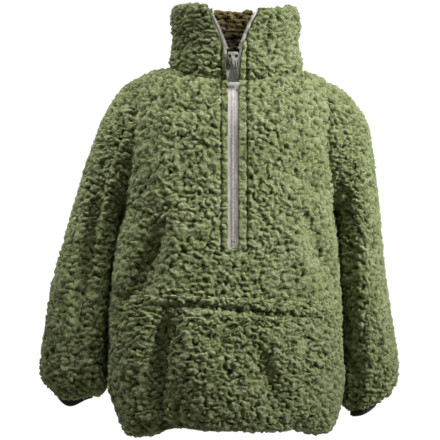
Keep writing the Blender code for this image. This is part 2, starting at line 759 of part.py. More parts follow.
def sleeve_fold(side, number, turn):
    total = 0.0
    for fold_side, r0, a0, r1, a1, r2, a2, half_width, depth in SLEEVE_FOLDS:
        if fold_side != side:
            continue
        best, at = 1.0, 0.0
        for step in range(13):
            t = step / 12
            bend = 4 * t * (1 - t)
            ring = r0 + (r2 - r0) * t + (r1 - (r0 + r2) / 2) * bend
            angle = a0 + (a2 - a0) * t + (a1 - (a0 + a2) / 2) * bend
            around = (turn - angle + 180) % 360 - 180
            distance = math.hypot((number - ring) * 0.035, math.radians(around) * 0.066)
            if distance < best:
                best, at = distance, t
        total += depth * math.exp(-(best / half_width) ** 2) * (0.25 + 3 * at * (1 - at))
    return total


def make_sleeve(side, front, back, surface):
    name = "sleeve_left" if side < 0 else "sleeve_right"
    turns = ring_turns()
    count = len(SLEEVES[side])
    centres, rings = zip(*(sleeve_ring(side, number) for number in range(count)))
    rings = [list(ring) for ring in rings]
    rings[0] = armhole_ring(front, back, side, "rows")
    for number in range(1, count - 1):
        settle = eased(number / 3) * eased((count - 1 - number) / 2)
        gather = eased((number - count + 6) / 3) * eased((count - 1 - number) / 2)
        for index, turn in enumerate(turns):
            outward = (rings[number][index] - centres[number]).normalized()
            wave = math.cos(math.radians(turn) * GATHERS + side) * GATHER_DEPTH * gather
            rings[number][index] += outward * (sleeve_fold(side, number, turn) * settle + wave)
    normals = grid_normals(rings, lambda r, c: rings[r][c] - centres[min(r, count - 6)], wrap=True)
    inner = moved(rings, normals, -FLEECE)
    inner[0] = armhole_ring(front, back, side, "inner")
    axis = centres[1] - centres[0]
    size = len(turns)
    for index in range(size):
        along = rings[0][(index + 1) % size] - rings[0][index - 1]
        away = along.cross(inner[0][index] - rings[0][index]).normalized()
        if away.dot(axis) < 0:
            away.negate()
        rings[0][index] = rings[0][index] + away * SEAM_GAP * 1.3
        inner[0][index] = inner[0][index] + away * SEAM_GAP * 1.3
    wall(name, rings, inner, surface, wrap=True)
    return rings[-1], inner[-1], centres[-1], (centres[-1] - centres[-4]).normalized()


def armhole_ring(front, back, side, skin):
    """The armhole's points on both panels, in the order of a sleeve ring."""
    column = 0 if side < 0 else -1
    ring = []
    for panel in (front, back):
        rows = panel.rows if skin == "rows" else panel.inner
        line = [rows[r][column].copy() for r in range(panel.armpit_row, len(rows))]
        ring.append(line)
    forward, behind = ring
    for end in (0, -1):
        forward[end].y = 0.0
    return forward + list(reversed(behind[1:-1]))


def make_binding(side, sleeve_outer, sleeve_inner, centre, axis, surface):
    """The narrow elastic band inside the sleeve's end, which gathers it."""
    name = "cuff_binding_left" if side < 0 else "cuff_binding_right"
    outer, inner = [], []
    levels = ((sleeve_inner, 0.0, BINDING_TUCK), (sleeve_outer, 0.0, BINDING_TUCK),
              (sleeve_outer, BINDING_DROP, 2 * BINDING_TUCK))
    for ring, drop, tuck in levels:
        outer_row, inner_row = [], []
        for point in ring:
            across = point - centre
            across = (across - axis * across.dot(axis)).normalized()
            outer_row.append(point - across * tuck + axis * drop)
            inner_row.append(point - across * (tuck + BINDING) + axis * drop)
        outer.append(outer_row)
        inner.append(inner_row)
    wall(name, outer, inner, surface, wrap=True)


def collar_base(front, back):
    """The neckline from the slit round the back to the slit again, and its seam directions."""
    last = len(front.rows) - 1
    half, neck = front.half, front.neck
    points, ways = [], []

    def take(panel, columns):
        for c in columns:
            points.append(panel.outer[last][c].copy())
            ways.append(panel.normals[last][c].copy())

    take(front, range(half, half + neck + 1))
    middle = back.half - 1
    take(back, range(middle + back.neck - 1, middle - back.neck, -1))
    take(front, range(half - 1 - neck, half))
    for index in (neck, len(points) - 1 - neck):
        points[index].y = 0.0
        ways[index].y = 0.0
        ways[index].normalize()
    return points, ways


def collar_rows(front, back):
    points, ways = collar_base(front, back)
    count = len(points)
    starts = []
    for point in points:
        side = 1 if point.x >= 0 else -1
        depth = NECK_FRONT if point.y < 0 else NECK_BACK
        starts.append(math.atan2(side * point.x / NECK_SIDE[side], -point.y / depth))
    rows = [points]
    for share, left, right, fore, aft in COLLAR_SECTIONS[1:]:
        front_z = NECK_FRONT_HEIGHT + (COLLAR_TOP - NECK_FRONT_HEIGHT) * share
        edge = read_table(COLLAR_EDGE, front_z, 1)
        row = []
        for index, (point, start) in enumerate(zip(points, starts)):
            side = 1 if index < count / 2 else -1
            width = right if side > 0 else left
            begin = math.asin(edge / width)
            first = starts[0] if side > 0 else starts[-1]
            angle = begin + (math.pi - begin) * (start - first) / (math.pi - first)
            depth = fore if math.cos(angle) > 0 else aft
            row.append(Vector((
                side * width * math.sin(angle),
                -depth * math.cos(angle),
                point.z + (COLLAR_TOP - point.z) * share,
            )))
        rows.append(row)
    return rows, ways


def make_collar(front, back, surface):
    rows, ways = collar_rows(front, back)
    height = len(rows) - 1
    axis = lambda r, c: Vector((rows[r][c].x, rows[r][c].y, 0.0))
    normals = grid_normals(rows, axis)
    for r in range(1, height):
        for c, point in enumerate(rows[r]):
            if point.y < 0:
                point += normals[r][c] * fold_height(COLLAR_FOLDS, point.x, point.z)
    normals = grid_normals(rows, axis)
    lean = [Vector((p.x, p.y, 0.0)).normalized() + Vector((0.0, 0.0, 0.6)) for p in rows[-1]]
    normals[-1] = [way.normalized() for way in lean]
    for line, row in zip(normals, rows):
        for c in (0, -1):
            line[c].x *= eased((row[c].z - 0.02) / 0.08)
            line[c].normalize()
    inner = moved(rows, normals, -COLLAR_WALL)
    for c, (point, way) in enumerate(zip(rows[0], ways)):
        inner[0][c] = point - way * COLLAR_WALL * 1.15
    size = len(rows[0])
    for c in range(size):
        along = rows[0][min(c + 1, size - 1)] - rows[0][max(c - 1, 0)]
        away = along.cross(inner[0][c] - rows[0][c]).normalized()
        if away.z < 0:
            away.negate()
        rows[0][c] = rows[0][c] + away * SEAM_GAP * 1.3
        inner[0][c] = inner[0][c] + away * SEAM_GAP * 1.3
    wall("collar", rows, inner, surface)
    return rows, inner


def slit_stations(front, collar_outer, collar_inner, side):
    """Fleece edge beside the zip, from the bottom to the collar's top: point, outward way."""
    column = front.half if side > 0 else front.half - 1
    column_collar = 0 if side > 0 else -1
    first = len(HEM_ROLL) + PLAIN_ROWS.index(ZIP_BOTTOM_ROW)
    stations = []
    for r in range(first, len(front.rows)):
        stations.append((front.outer[r][column], front.inner[r][column]))
    for r in range(len(collar_outer)):
        stations.append((collar_outer[r][column_collar], collar_inner[r][column_collar]))
    return stations


def strip(name, stations, side, near, far, sink, thick, surface, level=False):
    """A strip beside the slit: near and far give its edges' distance from the centre line."""
    corners = []
    for outer, inner in stations:
        way = (inner - outer).normalized()
        if level:
            way = Vector((0.0, way.y, way.z)).normalized()
        toward = Vector((-side, 0.0, 0.0))
        toward = (toward - way * toward.dot(way)).normalized()
        line = []
        for depth in (sink, sink + thick):
            edge = outer + way * depth
            line.append(edge + toward * (abs(outer.x) - far(outer)))
            line.append(edge + toward * (abs(outer.x) - near(outer)))
        corners.append((line[0], line[1], line[3], line[2]))
    mesh = bmesh.new()
    loops = [[mesh.verts.new(p) for p in ring] for ring in corners]
    for low, high in zip(loops, loops[1:]):
        for i in range(4):
            mesh.faces.new((low[i], low[(i + 1) % 4], high[(i + 1) % 4], high[i]))
    mesh.faces.new(reversed(loops[0]))
    mesh.faces.new(loops[-1])
    finished(name, mesh, surface)


def at_height(stations, z):
    """The station at a height, between the rows."""
    for (a, a_in), (b, b_in) in zip(stations, stations[1:]):
        if a.z <= z <= b.z and b.z > a.z:
            t = (z - a.z) / (b.z - a.z)
            return a.lerp(b, t), a_in.lerp(b_in, t)
    return stations[-1]


def between(stations, low, high):
    """The stations between two heights, with one at each end."""
    inside = [s for s in stations if low + 0.001 < s[0].z < high - 0.001]
    return [at_height(stations, low)] + inside + [at_height(stations, high)]


def make_zip(front, collar_outer, collar_inner, cloth, metal):
    centre_stations = None
    for side, word in ((-1, "left"), (1, "right")):
        stations = slit_stations(front, collar_outer, collar_inner, side)
        tape = between(stations, TAPE_END, TAPE_TOP)
        strip("zip_tape_" + word, tape, side,
              lambda p: read_table(TAPE_EDGE, p.z, 1), lambda p: abs(p.x) - TAPE_GAP,
              TAPE_SINK, TAPE, cloth)
        open_part = between(stations, OPEN_CHAIN_HEIGHT, TAPE_TOP - 0.006)
        strip("zip_chain_open_" + word, open_part, side,
              lambda p: read_table(TAPE_EDGE, p.z, 1) - SEAM_GAP - CHAIN_HALF,
              lambda p: read_table(TAPE_EDGE, p.z, 1) - SEAM_GAP,
              CHAIN_SINK, CHAIN_THICK, metal)
        stop = between(stations, TAPE_TOP - 0.0057, TAPE_TOP - 0.001)
        strip("top_stop_" + word, stop, side,
              lambda p: read_table(TAPE_EDGE, p.z, 1) - SEAM_GAP - CHAIN_HALF,
              lambda p: read_table(TAPE_EDGE, p.z, 1) - SEAM_GAP,
              CHAIN_SINK - 0.0004, CHAIN_THICK + 0.0008, metal)
        centre_stations = stations
    closed = between(centre_stations, CHAIN_BOTTOM, SLIDER_BOTTOM - 0.0006)
    strip("zip_chain", closed, 1, lambda p: -CHAIN_HALF, lambda p: CHAIN_HALF,
          CHAIN_SINK, CHAIN_THICK, metal, level=True)
    stop = between(centre_stations, CHAIN_BOTTOM - 0.0063, CHAIN_BOTTOM - 0.0003)
    strip("bottom_stop", stop, 1, lambda p: -CHAIN_HALF, lambda p: CHAIN_HALF,
          CHAIN_SINK - 0.0004, CHAIN_THICK + 0.0008, metal, level=True)


def extruded(outline, depth):
    """A bmesh plate: an outline in x, z, run back along y by depth."""
    mesh = bmesh.new()
    face = mesh.faces.new([mesh.verts.new((x, 0.0, z)) for x, z in outline])
    moved_part = bmesh.ops.extrude_face_region(mesh, geom=[face])
    vertices = [item for item in moved_part["geom"] if isinstance(item, bmesh.types.BMVert)]
    bmesh.ops.translate(mesh, verts=vertices, vec=(0.0, depth, 0.0))
    bmesh.ops.recalc_face_normals(mesh, faces=mesh.faces)
    return mesh


def rounded(mesh, width, segments=2):
    bmesh.ops.bevel(mesh, geom=list(mesh.edges), offset=width, segments=segments,
                    affect="EDGES", profile=0.5)


def make_slider(metal):
    """The slider's body with its crown, a strap over the pull tab's bar."""
    neck = SLIDER_TOP - 0.010
    outline = [
        (-SLIDER_TOP_HALF * 0.80, SLIDER_TOP), (-0.0020, SLIDER_TOP - 0.0030),
        (0.0020, SLIDER_TOP - 0.0030), (SLIDER_TOP_HALF * 0.80, SLIDER_TOP),
        (SLIDER_TOP_HALF, SLIDER_TOP - 0.0035), (SLIDER_TOP_HALF * 0.90, neck),
        (SLIDER_BOTTOM_HALF, SLIDER_BOTTOM + 0.006), (SLIDER_BOTTOM_HALF, SLIDER_BOTTOM),
        (-SLIDER_BOTTOM_HALF, SLIDER_BOTTOM), (-SLIDER_BOTTOM_HALF, SLIDER_BOTTOM + 0.006),
        (-SLIDER_TOP_HALF * 0.90, neck), (-SLIDER_TOP_HALF, SLIDER_TOP - 0.0035),
    ]
    body = extruded(outline, SLIDER_THICK)
    rounded(body, 0.0006, 1)
    slider = finished("slider", body, metal)
    slider.location.y = SLIDER_FACE

    face = 0.0015
    strap = -CROWN_SPACE
    profile = [
        (face, CROWN_TOP), (strap + 0.001, CROWN_TOP), (strap - CROWN_THICK, CROWN_TOP - 0.003),
        (strap - CROWN_THICK, CROWN_BOTTOM + 0.003), (strap + 0.001, CROWN_BOTTOM),
        (face, CROWN_BOTTOM), (face, CROWN_BOTTOM + 0.0022), (strap, CROWN_BOTTOM + 0.0034),
        (strap, CROWN_TOP - 0.0034), (face, CROWN_TOP - 0.0022),
    ]
    mesh = bmesh.new()
    outline_verts = [mesh.verts.new((-CROWN_HALF, SLIDER_FACE + y, z)) for y, z in profile]
    shape = bmesh.ops.extrude_face_region(mesh, geom=[mesh.faces.new(outline_verts)])
    vertices = [item for item in shape["geom"] if isinstance(item, bmesh.types.BMVert)]
    bmesh.ops.translate(mesh, verts=vertices, vec=(2 * CROWN_HALF, 0.0, 0.0))
    crown = finished("crown_shape", mesh, metal)
    join = slider.modifiers.new("crown", "BOOLEAN")
    join.operation = "UNION"
    join.object = crown
    crown.hide_render = True
    crown.display_type = "WIRE"


def make_pull_tab(metal):
    """The pull tab: a bar under the crown, two legs beside it and a widening plate."""
    bar = TAB_TOP_HALF
    low = -TAB_LENGTH
    hole = TAB_TOP_HALF - TAB_LEG
    mesh = bmesh.new()
    outer = [
        (-bar, 0.0012), (bar, 0.0012), (bar + 0.0006, low * 0.35), (TAB_END_HALF, low + 0.004),
        (TAB_END_HALF - 0.003, low), (-TAB_END_HALF + 0.003, low), (-TAB_END_HALF, low + 0.004),
        (-bar - 0.0006, low * 0.35),
    ]
    gap = [(-hole, -0.0008), (hole, -0.0008), (hole, -TAB_HOLE_END), (-hole, -TAB_HOLE_END)]
    skins = []
    for y in (-TAB_THICK / 2, TAB_THICK / 2):
        skins.append([[mesh.verts.new((x, y, z)) for x, z in line] for line in (outer, gap)])
    quads = ((0, 1, "g1", "g0"), (1, 2, "g2", "g1"), (7, 0, "g0", "g3"), (2, 7, "g3", "g2"),
             (2, 3, 6, 7), (3, 4, 5, 6))
    for outer_verts, gap_verts in skins:
        for quad in quads:
            mesh.faces.new([gap_verts[int(k[1])] if isinstance(k, str) else outer_verts[k]
                            for k in quad])
    for which in (0, 1):
        front_line, back_line = skins[0][which], skins[1][which]
        size = len(front_line)
        for i in range(size):
            j = (i + 1) % size
            mesh.faces.new((front_line[i], front_line[j], back_line[j], back_line[i]))
    tab = finished("pull_tab", mesh, metal)
    tab.location = (0.0, PIVOT_Y, PIVOT_Z)
    tab.rotation_euler = (-TAB_TILT, 0.0, 0.0)


def build():
    for item in list(bpy.data.objects):
        bpy.data.objects.remove(item, do_unlink=True)
    fleece = material("curly fleece", GREEN)
    elastic = material("dark elastic", DARK, 0.8)
    tape_cloth = material("zip tape", SILVER_TAPE, 0.6)
    chain_metal = material("zip chain", (0.70, 0.69, 0.70), 0.35, 0.6)
    slider_metal = material("zip slider metal", (0.45, 0.45, 0.46), 0.3, 1.0)

    front, back = Panel(-1), Panel(1)
    wall("front", front.outer, front.inner, fleece, hole=front.slit)
    wall("back", back.outer, back.inner, fleece)
    make_pocket(front, fleece)
    for side in (-1, 1):
        outer, inner, centre, axis = make_sleeve(side, front, back, fleece)
        make_binding(side, outer, inner, centre, axis, elastic)
    collar_outer, collar_inner = make_collar(front, back, fleece)
    make_zip(front, collar_outer, collar_inner, tape_cloth, chain_metal)
    make_slider(slider_metal)
    make_pull_tab(slider_metal)


build()
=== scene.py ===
# A half-zip pullover in curly pile fleece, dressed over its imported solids.
# Metres, +Z up, the front towards -Y. The origin is the middle of the neck base.

import json
import math

import bmesh
import bpy
import numpy as np
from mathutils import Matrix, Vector
from mathutils.kdtree import KDTree

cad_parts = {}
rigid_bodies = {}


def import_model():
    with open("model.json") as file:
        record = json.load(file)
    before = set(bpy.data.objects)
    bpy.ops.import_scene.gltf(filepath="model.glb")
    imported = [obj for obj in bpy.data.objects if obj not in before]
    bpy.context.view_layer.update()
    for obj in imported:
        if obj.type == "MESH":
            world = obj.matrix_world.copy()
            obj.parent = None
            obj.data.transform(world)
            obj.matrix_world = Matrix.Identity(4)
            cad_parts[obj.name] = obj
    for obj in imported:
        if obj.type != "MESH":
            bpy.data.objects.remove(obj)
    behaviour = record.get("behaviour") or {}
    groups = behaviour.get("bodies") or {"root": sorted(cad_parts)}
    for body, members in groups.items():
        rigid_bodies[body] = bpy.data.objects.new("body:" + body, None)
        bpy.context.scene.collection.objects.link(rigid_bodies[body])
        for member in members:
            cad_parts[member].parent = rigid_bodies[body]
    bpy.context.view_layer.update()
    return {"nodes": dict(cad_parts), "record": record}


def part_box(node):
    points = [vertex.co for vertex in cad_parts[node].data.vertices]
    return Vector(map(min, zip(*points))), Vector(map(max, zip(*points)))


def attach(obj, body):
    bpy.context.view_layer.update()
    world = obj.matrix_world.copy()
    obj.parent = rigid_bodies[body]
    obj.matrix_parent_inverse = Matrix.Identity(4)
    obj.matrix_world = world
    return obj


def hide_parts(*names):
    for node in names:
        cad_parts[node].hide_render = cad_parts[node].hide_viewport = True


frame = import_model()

# Camera and stage
VIEW_WIDTH = 0.781          # what the image spans at the garment, 1.78 mm a pixel
VIEW_CENTRE = Vector((-0.0228, 0.0, -0.2620))
CAMERA_DISTANCE = 5.0
SENSOR_WIDTH = 36.0
FLOOR_LEVEL = -1.30
FLOOR_SIZE = 9.0
FLOOR_COLOUR = (0.88, 0.88, 0.87, 1.0)
FLOOR_GLOW = ((1.0, 1.0, 0.99, 1.0), 0.50)      # what is added where the camera sees the floor
WORLD_LIGHT = 0.06          # strength as light, and what is added where the camera sees it
WORLD_SEEN = 0.99
WORLD_WARM = (1.0, 0.93, 0.62, 1.0)
WHITE = (1.0, 1.0, 1.0, 1.0)

# Area lights: name, place, size, power, spread in degrees and where they point
LIGHTS = (
    ("key", (2.00, -1.10, 0.70), 0.5, 5.2, 46, (0.12, -0.10, -0.15)),
    ("top", (0.50, -0.90, 1.90), 0.6, 1.7, 46, (0.05, -0.10, 0.02)),
    ("top left", (-1.20, -0.50, 1.60), 0.4, 0.75, 20, (-0.27, -0.03, -0.08)),
    ("fill", (-2.0, -2.8, 0.6), 1.8, 0.4, 110, (0.0, 0.0, -0.25)),
    ("overhead", (0.0, 0.6, 2.6), 2.0, 2.0, 110, (0.0, 0.0, -0.25)),
    ("back right", (1.7, 2.8, 0.9), 1.6, 18.0, 110, (0.0, 0.0, -0.25)),
    ("back left", (-1.7, 2.7, 0.9), 1.6, 18.0, 110, (0.0, 0.0, -0.25)),
)

# Meshes of the cloth
BACKING = 2                 # place of the wrong side among a piece's materials
MERGE_DISTANCE = 0.00001
QUAD_FACE_ANGLE = math.radians(70)      # triangles up to these angles are paired to quads
QUAD_SHAPE_ANGLE = math.radians(85)
SKIN_ANGLE = math.radians(52)           # the skin spreads over edges flatter than this
RIM_ANGLE = math.radians(58)            # edges of the wrong side above this stay sharp
SMOOTH_LEVELS = 2
BINDING_LEVELS = 3

# Pile
PILE = 0.0190               # height of the curls' relief
PILE_MIDDLE = 0.54          # the part of it that sinks below the solid's skin
SEAM_DIP = 0.010            # the pile lies down this far from a seam
SEAM_PILE = 0.62            # how tall it still is there
PLACKET_PILE = 0.50         # and beside the zip, where it is pressed flat
PLACKET_FROM = 0.95         # it rises again across the stitched line, as a share of its distance
PLACKET_OVER = 0.20
PLACKET_END = 0.006
PLACKET_TOP = 0.04
CURL_DRIFT = (0.012, 0.012)     # size and reach of the drift that bends the curls
CURL_STRETCH = (0.78, 0.78, 1.28)
CURL_CREASE = 0.0120        # sizes of the gaps, clumps, soft swell and locks
CURL_CELL = 0.0066
CURL_SOFT = 0.0085
CURL_LOCK = 0.0042
CURL_GATE = 0.0120          # size and level of the patches where the gaps close
CURL_GATE_FROM = 0.45
CURL_STEEP = 6.0            # how steeply the gaps' sides and the patches rise
CURL_SOFTNESS = 0.25
GAP_SHARE = 0.30            # what gaps, clumps, swell and locks add to the relief
CELL_SHARE = 0.30
SOFT_SHARE = 0.28
LOCK_SHARE = 0.18
GATE_OFFSET = (9.1, 2.7, 5.3)       # so that each noise is another part of the same field
SOFT_OFFSET = (3.1, 7.7, 1.3)
TONE_SIZE = 0.060
FIBRE_SIZE = 0.0026
FIBRE_SHARE = 0.70

# Colours: stops of the pile from its gaps to its clumps, and shades of its uneven patches
# Painted shade: the lowest stops darken the gaps between the curls to near black, over their relief; the
# higher ones give the fleece's green
PILE_GREEN_AND_GAP_SHADE = (
    (0.36, (0.012, 0.013, 0.003)),
    (0.46, (0.088, 0.100, 0.029)),
    (0.58, (0.185, 0.214, 0.089)),
    (0.78, (0.310, 0.358, 0.188)),
)
# Inside the neck the same fleece is painted in shade: darker brown stops for its shading with a warm cast
# of bounced light, near black in its gaps
NECK_STOPS_IN_PAINTED_SHADE = (
    (0.36, (0.007, 0.004, 0.001)),
    (0.46, (0.038, 0.024, 0.005)),
    (0.58, (0.115, 0.080, 0.019)),
    (0.78, (0.225, 0.165, 0.048)),
)
GREEN_SHADES = ((0.30, (0.80, 0.84, 0.70)), (0.70, (1.0, 1.0, 1.0)))
NECK_PATCHES_IN_PAINTED_SHADE = ((0.04, (0.16, 0.13, 0.12)), (0.50, (1.0, 1.0, 1.0)))
NECK_SHADE_HEIGHTS = (0.015, 0.105)       # heights between which the painted shade deep inside the neck fades out
PILE_SHEEN = {"Sheen Weight": 0.22, "Sheen Roughness": 0.55, "Sheen Tint": (0.72, 0.80, 0.55, 1.0)}
BACKING_STOPS = ((0.0, (0.050, 0.056, 0.024)), (1.0, (0.105, 0.118, 0.055)))
ELASTIC_STOPS = ((0.3, (0.012, 0.013, 0.010)), (0.7, (0.045, 0.047, 0.036)))
TAPE_STOPS = ((0.3, (0.44, 0.42, 0.38)), (0.7, (0.62, 0.60, 0.55)))
TAPE_SHEEN = {"Sheen Weight": 0.3}
PILE_BUMP = (0.85, 0.004)       # strength and distance of each material's bump
BACKING_BUMP = (0.3, 0.0006)
ELASTIC_BUMP = (0.5, 0.0005)
TAPE_BUMP = (0.4, 0.0003)
METAL_BUMP = (0.15, 0.0003)
KNIT_ROWS = 130.0
TWILL_ROWS = 320.0
TWILL_TURN = (0.0, 0.75, 0.0)
THREAD_SIZE = 0.0012
WEAR_SIZE = 0.018
SCUFF_SIZE = 0.0045
GRAIN_SIZE = 0.0009
METALS = {      # dull and rubbed colour, roughness, metallic share
    "zip teeth": ((0.62, 0.59, 0.58), (0.86, 0.83, 0.82), 0.35, 0.25),
    "zip slider metal": ((0.40, 0.41, 0.38), (0.66, 0.67, 0.62), 0.42, 0.5),
    # Nearly black: painted shade for the hollow inside of the slider
    "metal inside the slider in painted shade": ((0.003, 0.003, 0.002), (0.010, 0.010, 0.008), 0.8, 0.0),
    "dark tab metal": ((0.075, 0.082, 0.060), (0.155, 0.165, 0.125), 0.45, 0.5),
    # The tab's end: its own pale metal, lighter and less metallic to paint in the reflection that makes it
    # bright
    "pale metal with painted reflection": ((0.60, 0.60, 0.58), (0.86, 0.86, 0.84), 0.30, 0.4),
}

# Creases, as seen from the front or back: x and z of start, middle and end,
# then half-width and how far they lift, or sink below 0
CREASE_STEPS = 31
CREASE_ENDS = 0.7           # power that lets a crease run out towards its ends
FACING_FROM = 0.05          # creases fade in from where the cloth turns towards the viewer
FACING_OVER = 0.35
FRONT_CREASES = (
    (-0.1225, -0.262, -0.145, -0.334, -0.184, -0.430, 0.0180, -0.016),
    (0.1200, -0.250, 0.152, -0.317, 0.170, -0.395, 0.0160, -0.011),
    (-0.1155, -0.072, -0.072, -0.071, -0.028, -0.067, 0.0080, -0.004),
    (0.0910, -0.177, 0.120, -0.195, 0.152, -0.215, 0.0080, -0.004),
    (-0.1050, -0.420, -0.128, -0.504, -0.133, -0.625, 0.0180, -0.017),
    (0.0420, -0.480, 0.0595, -0.534, 0.0745, -0.606, 0.0140, -0.007),
    (-0.1080, -0.553, -0.098, -0.590, -0.088, -0.620, 0.0080, -0.009),
    (-0.1240, -0.500, -0.126, -0.570, -0.112, -0.638, 0.0130, -0.010),
    (-0.0900, -0.300, -0.108, -0.345, -0.140, -0.385, 0.0080, -0.004),
    (0.0850, -0.330, 0.115, -0.352, 0.150, -0.366, 0.0080, -0.003),
    (-0.0700, -0.150, -0.084, -0.190, -0.080, -0.236, 0.0100, -0.003),
    (-0.1900, -0.085, -0.184, -0.140, -0.182, -0.190, 0.0080, -0.006),
    (0.1560, -0.090, 0.166, -0.125, 0.168, -0.180, 0.0080, -0.006),
    (-0.1720, -0.408, -0.192, -0.455, -0.220, -0.520, 0.0060, -0.010),
    (-0.2180, -0.388, -0.192, -0.402, -0.166, -0.412, 0.0090, -0.013),
    (0.1720, -0.418, 0.190, -0.472, 0.200, -0.532, 0.0060, -0.010),
)
POCKET_CREASES = FRONT_CREASES[4:8] + (
    (-0.1700, -0.4130, -0.080, -0.4090, 0.020, -0.4170, 0.0055, -0.0100),
    (-0.0200, -0.4140, 0.070, -0.4240, 0.170, -0.4340, 0.0055, -0.0100),
    (-0.1500, -0.4030, -0.080, -0.4000, 0.020, -0.4070, 0.0060, 0.0030),
    (-0.0200, -0.4050, 0.070, -0.4130, 0.150, -0.4210, 0.0060, 0.0030),
    (0.0000, -0.440, -0.016, -0.470, -0.012, -0.505, 0.0090, -0.003),
    (0.1180, -0.450, 0.126, -0.500, 0.120, -0.560, 0.0100, -0.005),
)
BACK_CREASES = (
    (0.0600, -0.120, 0.082, -0.200, 0.072, -0.300, 0.0100, -0.005),
    (-0.0550, -0.150, -0.088, -0.262, -0.120, -0.380, 0.0110, -0.007),
    (0.0900, -0.280, 0.130, -0.380, 0.114, -0.500, 0.0120, -0.008),
    (-0.0180, -0.370, 0.005, -0.462, -0.018, -0.580, 0.0110, -0.007),
    (-0.1220, -0.460, -0.108, -0.540, -0.112, -0.610, 0.0100, -0.007),
    (-0.0650, -0.052, 0.000, -0.066, 0.065, -0.052, 0.0080, -0.004),
)
SLEEVE_CREASES = {
    "left": (
        (-0.2110, -0.110, -0.250, -0.290, -0.271, -0.512, 0.0160, -0.012),
        (-0.2000, -0.200, -0.222, -0.300, -0.230, -0.420, 0.0080, -0.004),
        (-0.2960, -0.380, -0.302, -0.440, -0.296, -0.520, 0.0090, -0.005),
    ),
    "right": (
        (0.1985, -0.480, 0.206, -0.512, 0.220, -0.548, 0.0090, -0.007),
        (0.2000, -0.200, 0.212, -0.300, 0.208, -0.420, 0.0080, -0.004),
        (0.2480, -0.440, 0.256, -0.492, 0.246, -0.545, 0.0080, -0.005),
    ),
}
SLEEVE_BACK_CREASES = {
    "left": (
        (-0.2300, -0.200, -0.262, -0.330, -0.284, -0.480, 0.0110, -0.008),
        (-0.2500, -0.400, -0.252, -0.460, -0.262, -0.530, 0.0080, -0.005),
    ),
    "right": (
        (0.2100, -0.200, 0.226, -0.330, 0.236, -0.470, 0.0110, -0.008),
        (0.2600, -0.420, 0.258, -0.470, 0.246, -0.540, 0.0080, -0.005),
    ),
}

# Where the cloth bulges out: middle, reach and height
SLEEVE_BULGES = {
    "left": (((-0.203, 0.0, -0.275), (0.020, 0.060, 0.055), 0.0090),),
    "right": (((0.188, 0.0, -0.275), (0.020, 0.060, 0.055), 0.0090),),
}
BODY_BULGES = (
    ((-0.196, 0.0, -0.280), (0.020, 0.060, 0.055), 0.0050),
    ((0.178, 0.0, -0.280), (0.020, 0.060, 0.055), 0.0050),
)

# Where the cloth is moved a little: middle x and z, reach, and shift in x and z
SHOULDER_SHIFTS = (
    ((-0.150, -0.020), (0.050, 0.045), (-0.002, 0.009)),
    ((0.190, -0.035), (0.045, 0.050), (0.001, 0.001)),
    ((0.238, -0.110), (0.035, 0.060), (0.003, 0.000)),
    ((0.230, -0.085), (0.025, 0.025), (0.003, 0.002)),
    ((0.073, 0.115), (0.020, 0.030), (0.000, -0.005)),
    ((0.055, 0.118), (0.016, 0.030), (0.000, -0.005)),
    ((0.002, 0.118), (0.030, 0.020), (0.000, -0.005)),
)
CUFF_SHIFTS = {
    "left": (
        ((-0.290, -0.590), (0.070, 0.075), (0.002, -0.013)),
        ((-0.335, -0.520), (0.030, 0.070), (-0.0020, 0.000)),
        ((-0.330, -0.568), (0.018, 0.022), (0.008, 0.006)),
        ((-0.294, -0.600), (0.018, 0.030), (0.000, -0.015)),
        ((-0.254, -0.590), (0.020, 0.030), (0.000, 0.013)),
    ),
    "right": (
        ((0.230, -0.605), (0.070, 0.075), (0.006, -0.012)),
        ((0.292, -0.530), (0.030, 0.080), (0.0015, 0.000)),
        ((0.225, -0.600), (0.020, 0.030), (0.000, -0.004)),
        ((0.198, -0.585), (0.015, 0.020), (-0.004, 0.002)),
    ),
}
HEM_SHIFTS = (
    ((-0.215, -0.620), (0.040, 0.060), (0.012, 0.000)),
    ((-0.222, -0.565), (0.020, 0.025), (-0.004, 0.000)),
    ((0.200, -0.620), (0.040, 0.060), (-0.006, 0.000)),
    ((-0.020, -0.655), (0.120, 0.030), (0.000, 0.011)),
    ((-0.140, -0.645), (0.040, 0.020), (0.000, -0.003)),
    ((-0.120, -0.400), (0.080, 0.030), (0.000, 0.006)),
    ((0.140, -0.400), (0.070, 0.030), (0.000, -0.007)),
)

# Zip; the tab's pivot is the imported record's
TOOTH_SIZE = (0.0036, 0.0019, 0.00125)
TOOTH_PITCH = 0.0024
TOOTH_IN = 0.0012           # how far the middle of a tooth is from the chain's middle
TOOTH_NECK = 0.16           # where its head starts, as a share of its length
TOOTH_HEAD = (1.0, 0.75, 0.62)
RAY_START = 0.05            # rays that find a solid's front start this far before it
CHAIN_END = 0.0008          # and keep this far from its ends
CHAIN_RAYS = 48
SLIDER_FACE = -0.0935
SLIDER_ROWS = ((0.0035, 0.0056), (0.0095, 0.0062), (0.0200, 0.0088), (0.0275, 0.0094), (0.0312, 0.0080))
SLIDER_PLATE = 0.0021
SLIDER_DEPTH = 0.0085
SPINE_HALF = 0.0022         # solid strip between the two mouths
MOUTH_LEVELS = (0.0210, 0.0275)
MOUTH_RIM = 0.0011
MOUTH_PLACE = (0.0056, 0.0015, 0.0238)      # off the middle, behind the face, height
MOUTH_SIZE = (0.0062, 0.0006, 0.0066)
WEDGE_ROWS = ((0.0180, 0.0006), (0.0240, 0.0024), (0.0310, 0.0020))
RAIL_PLACE = (0.0054, 0.0095)
RAIL_SIZE = (0.0010, 0.0110)
OVERLAP = 0.0006            # wedge and rails are this much deeper than the space between the plates
THIN_EDGE = 0.0003          # rounding of the edges of thin and of thicker metal
EDGE = 0.0005
CROWN_EDGE = 0.0006
CROWN_FOOT = 0.0026
CROWN_ROOT = 0.0008         # how far its feet run into the plate
CROWN_HALF = 0.0021
CROWN_TOP = 0.0222
CROWN_BOTTOM = 0.0085
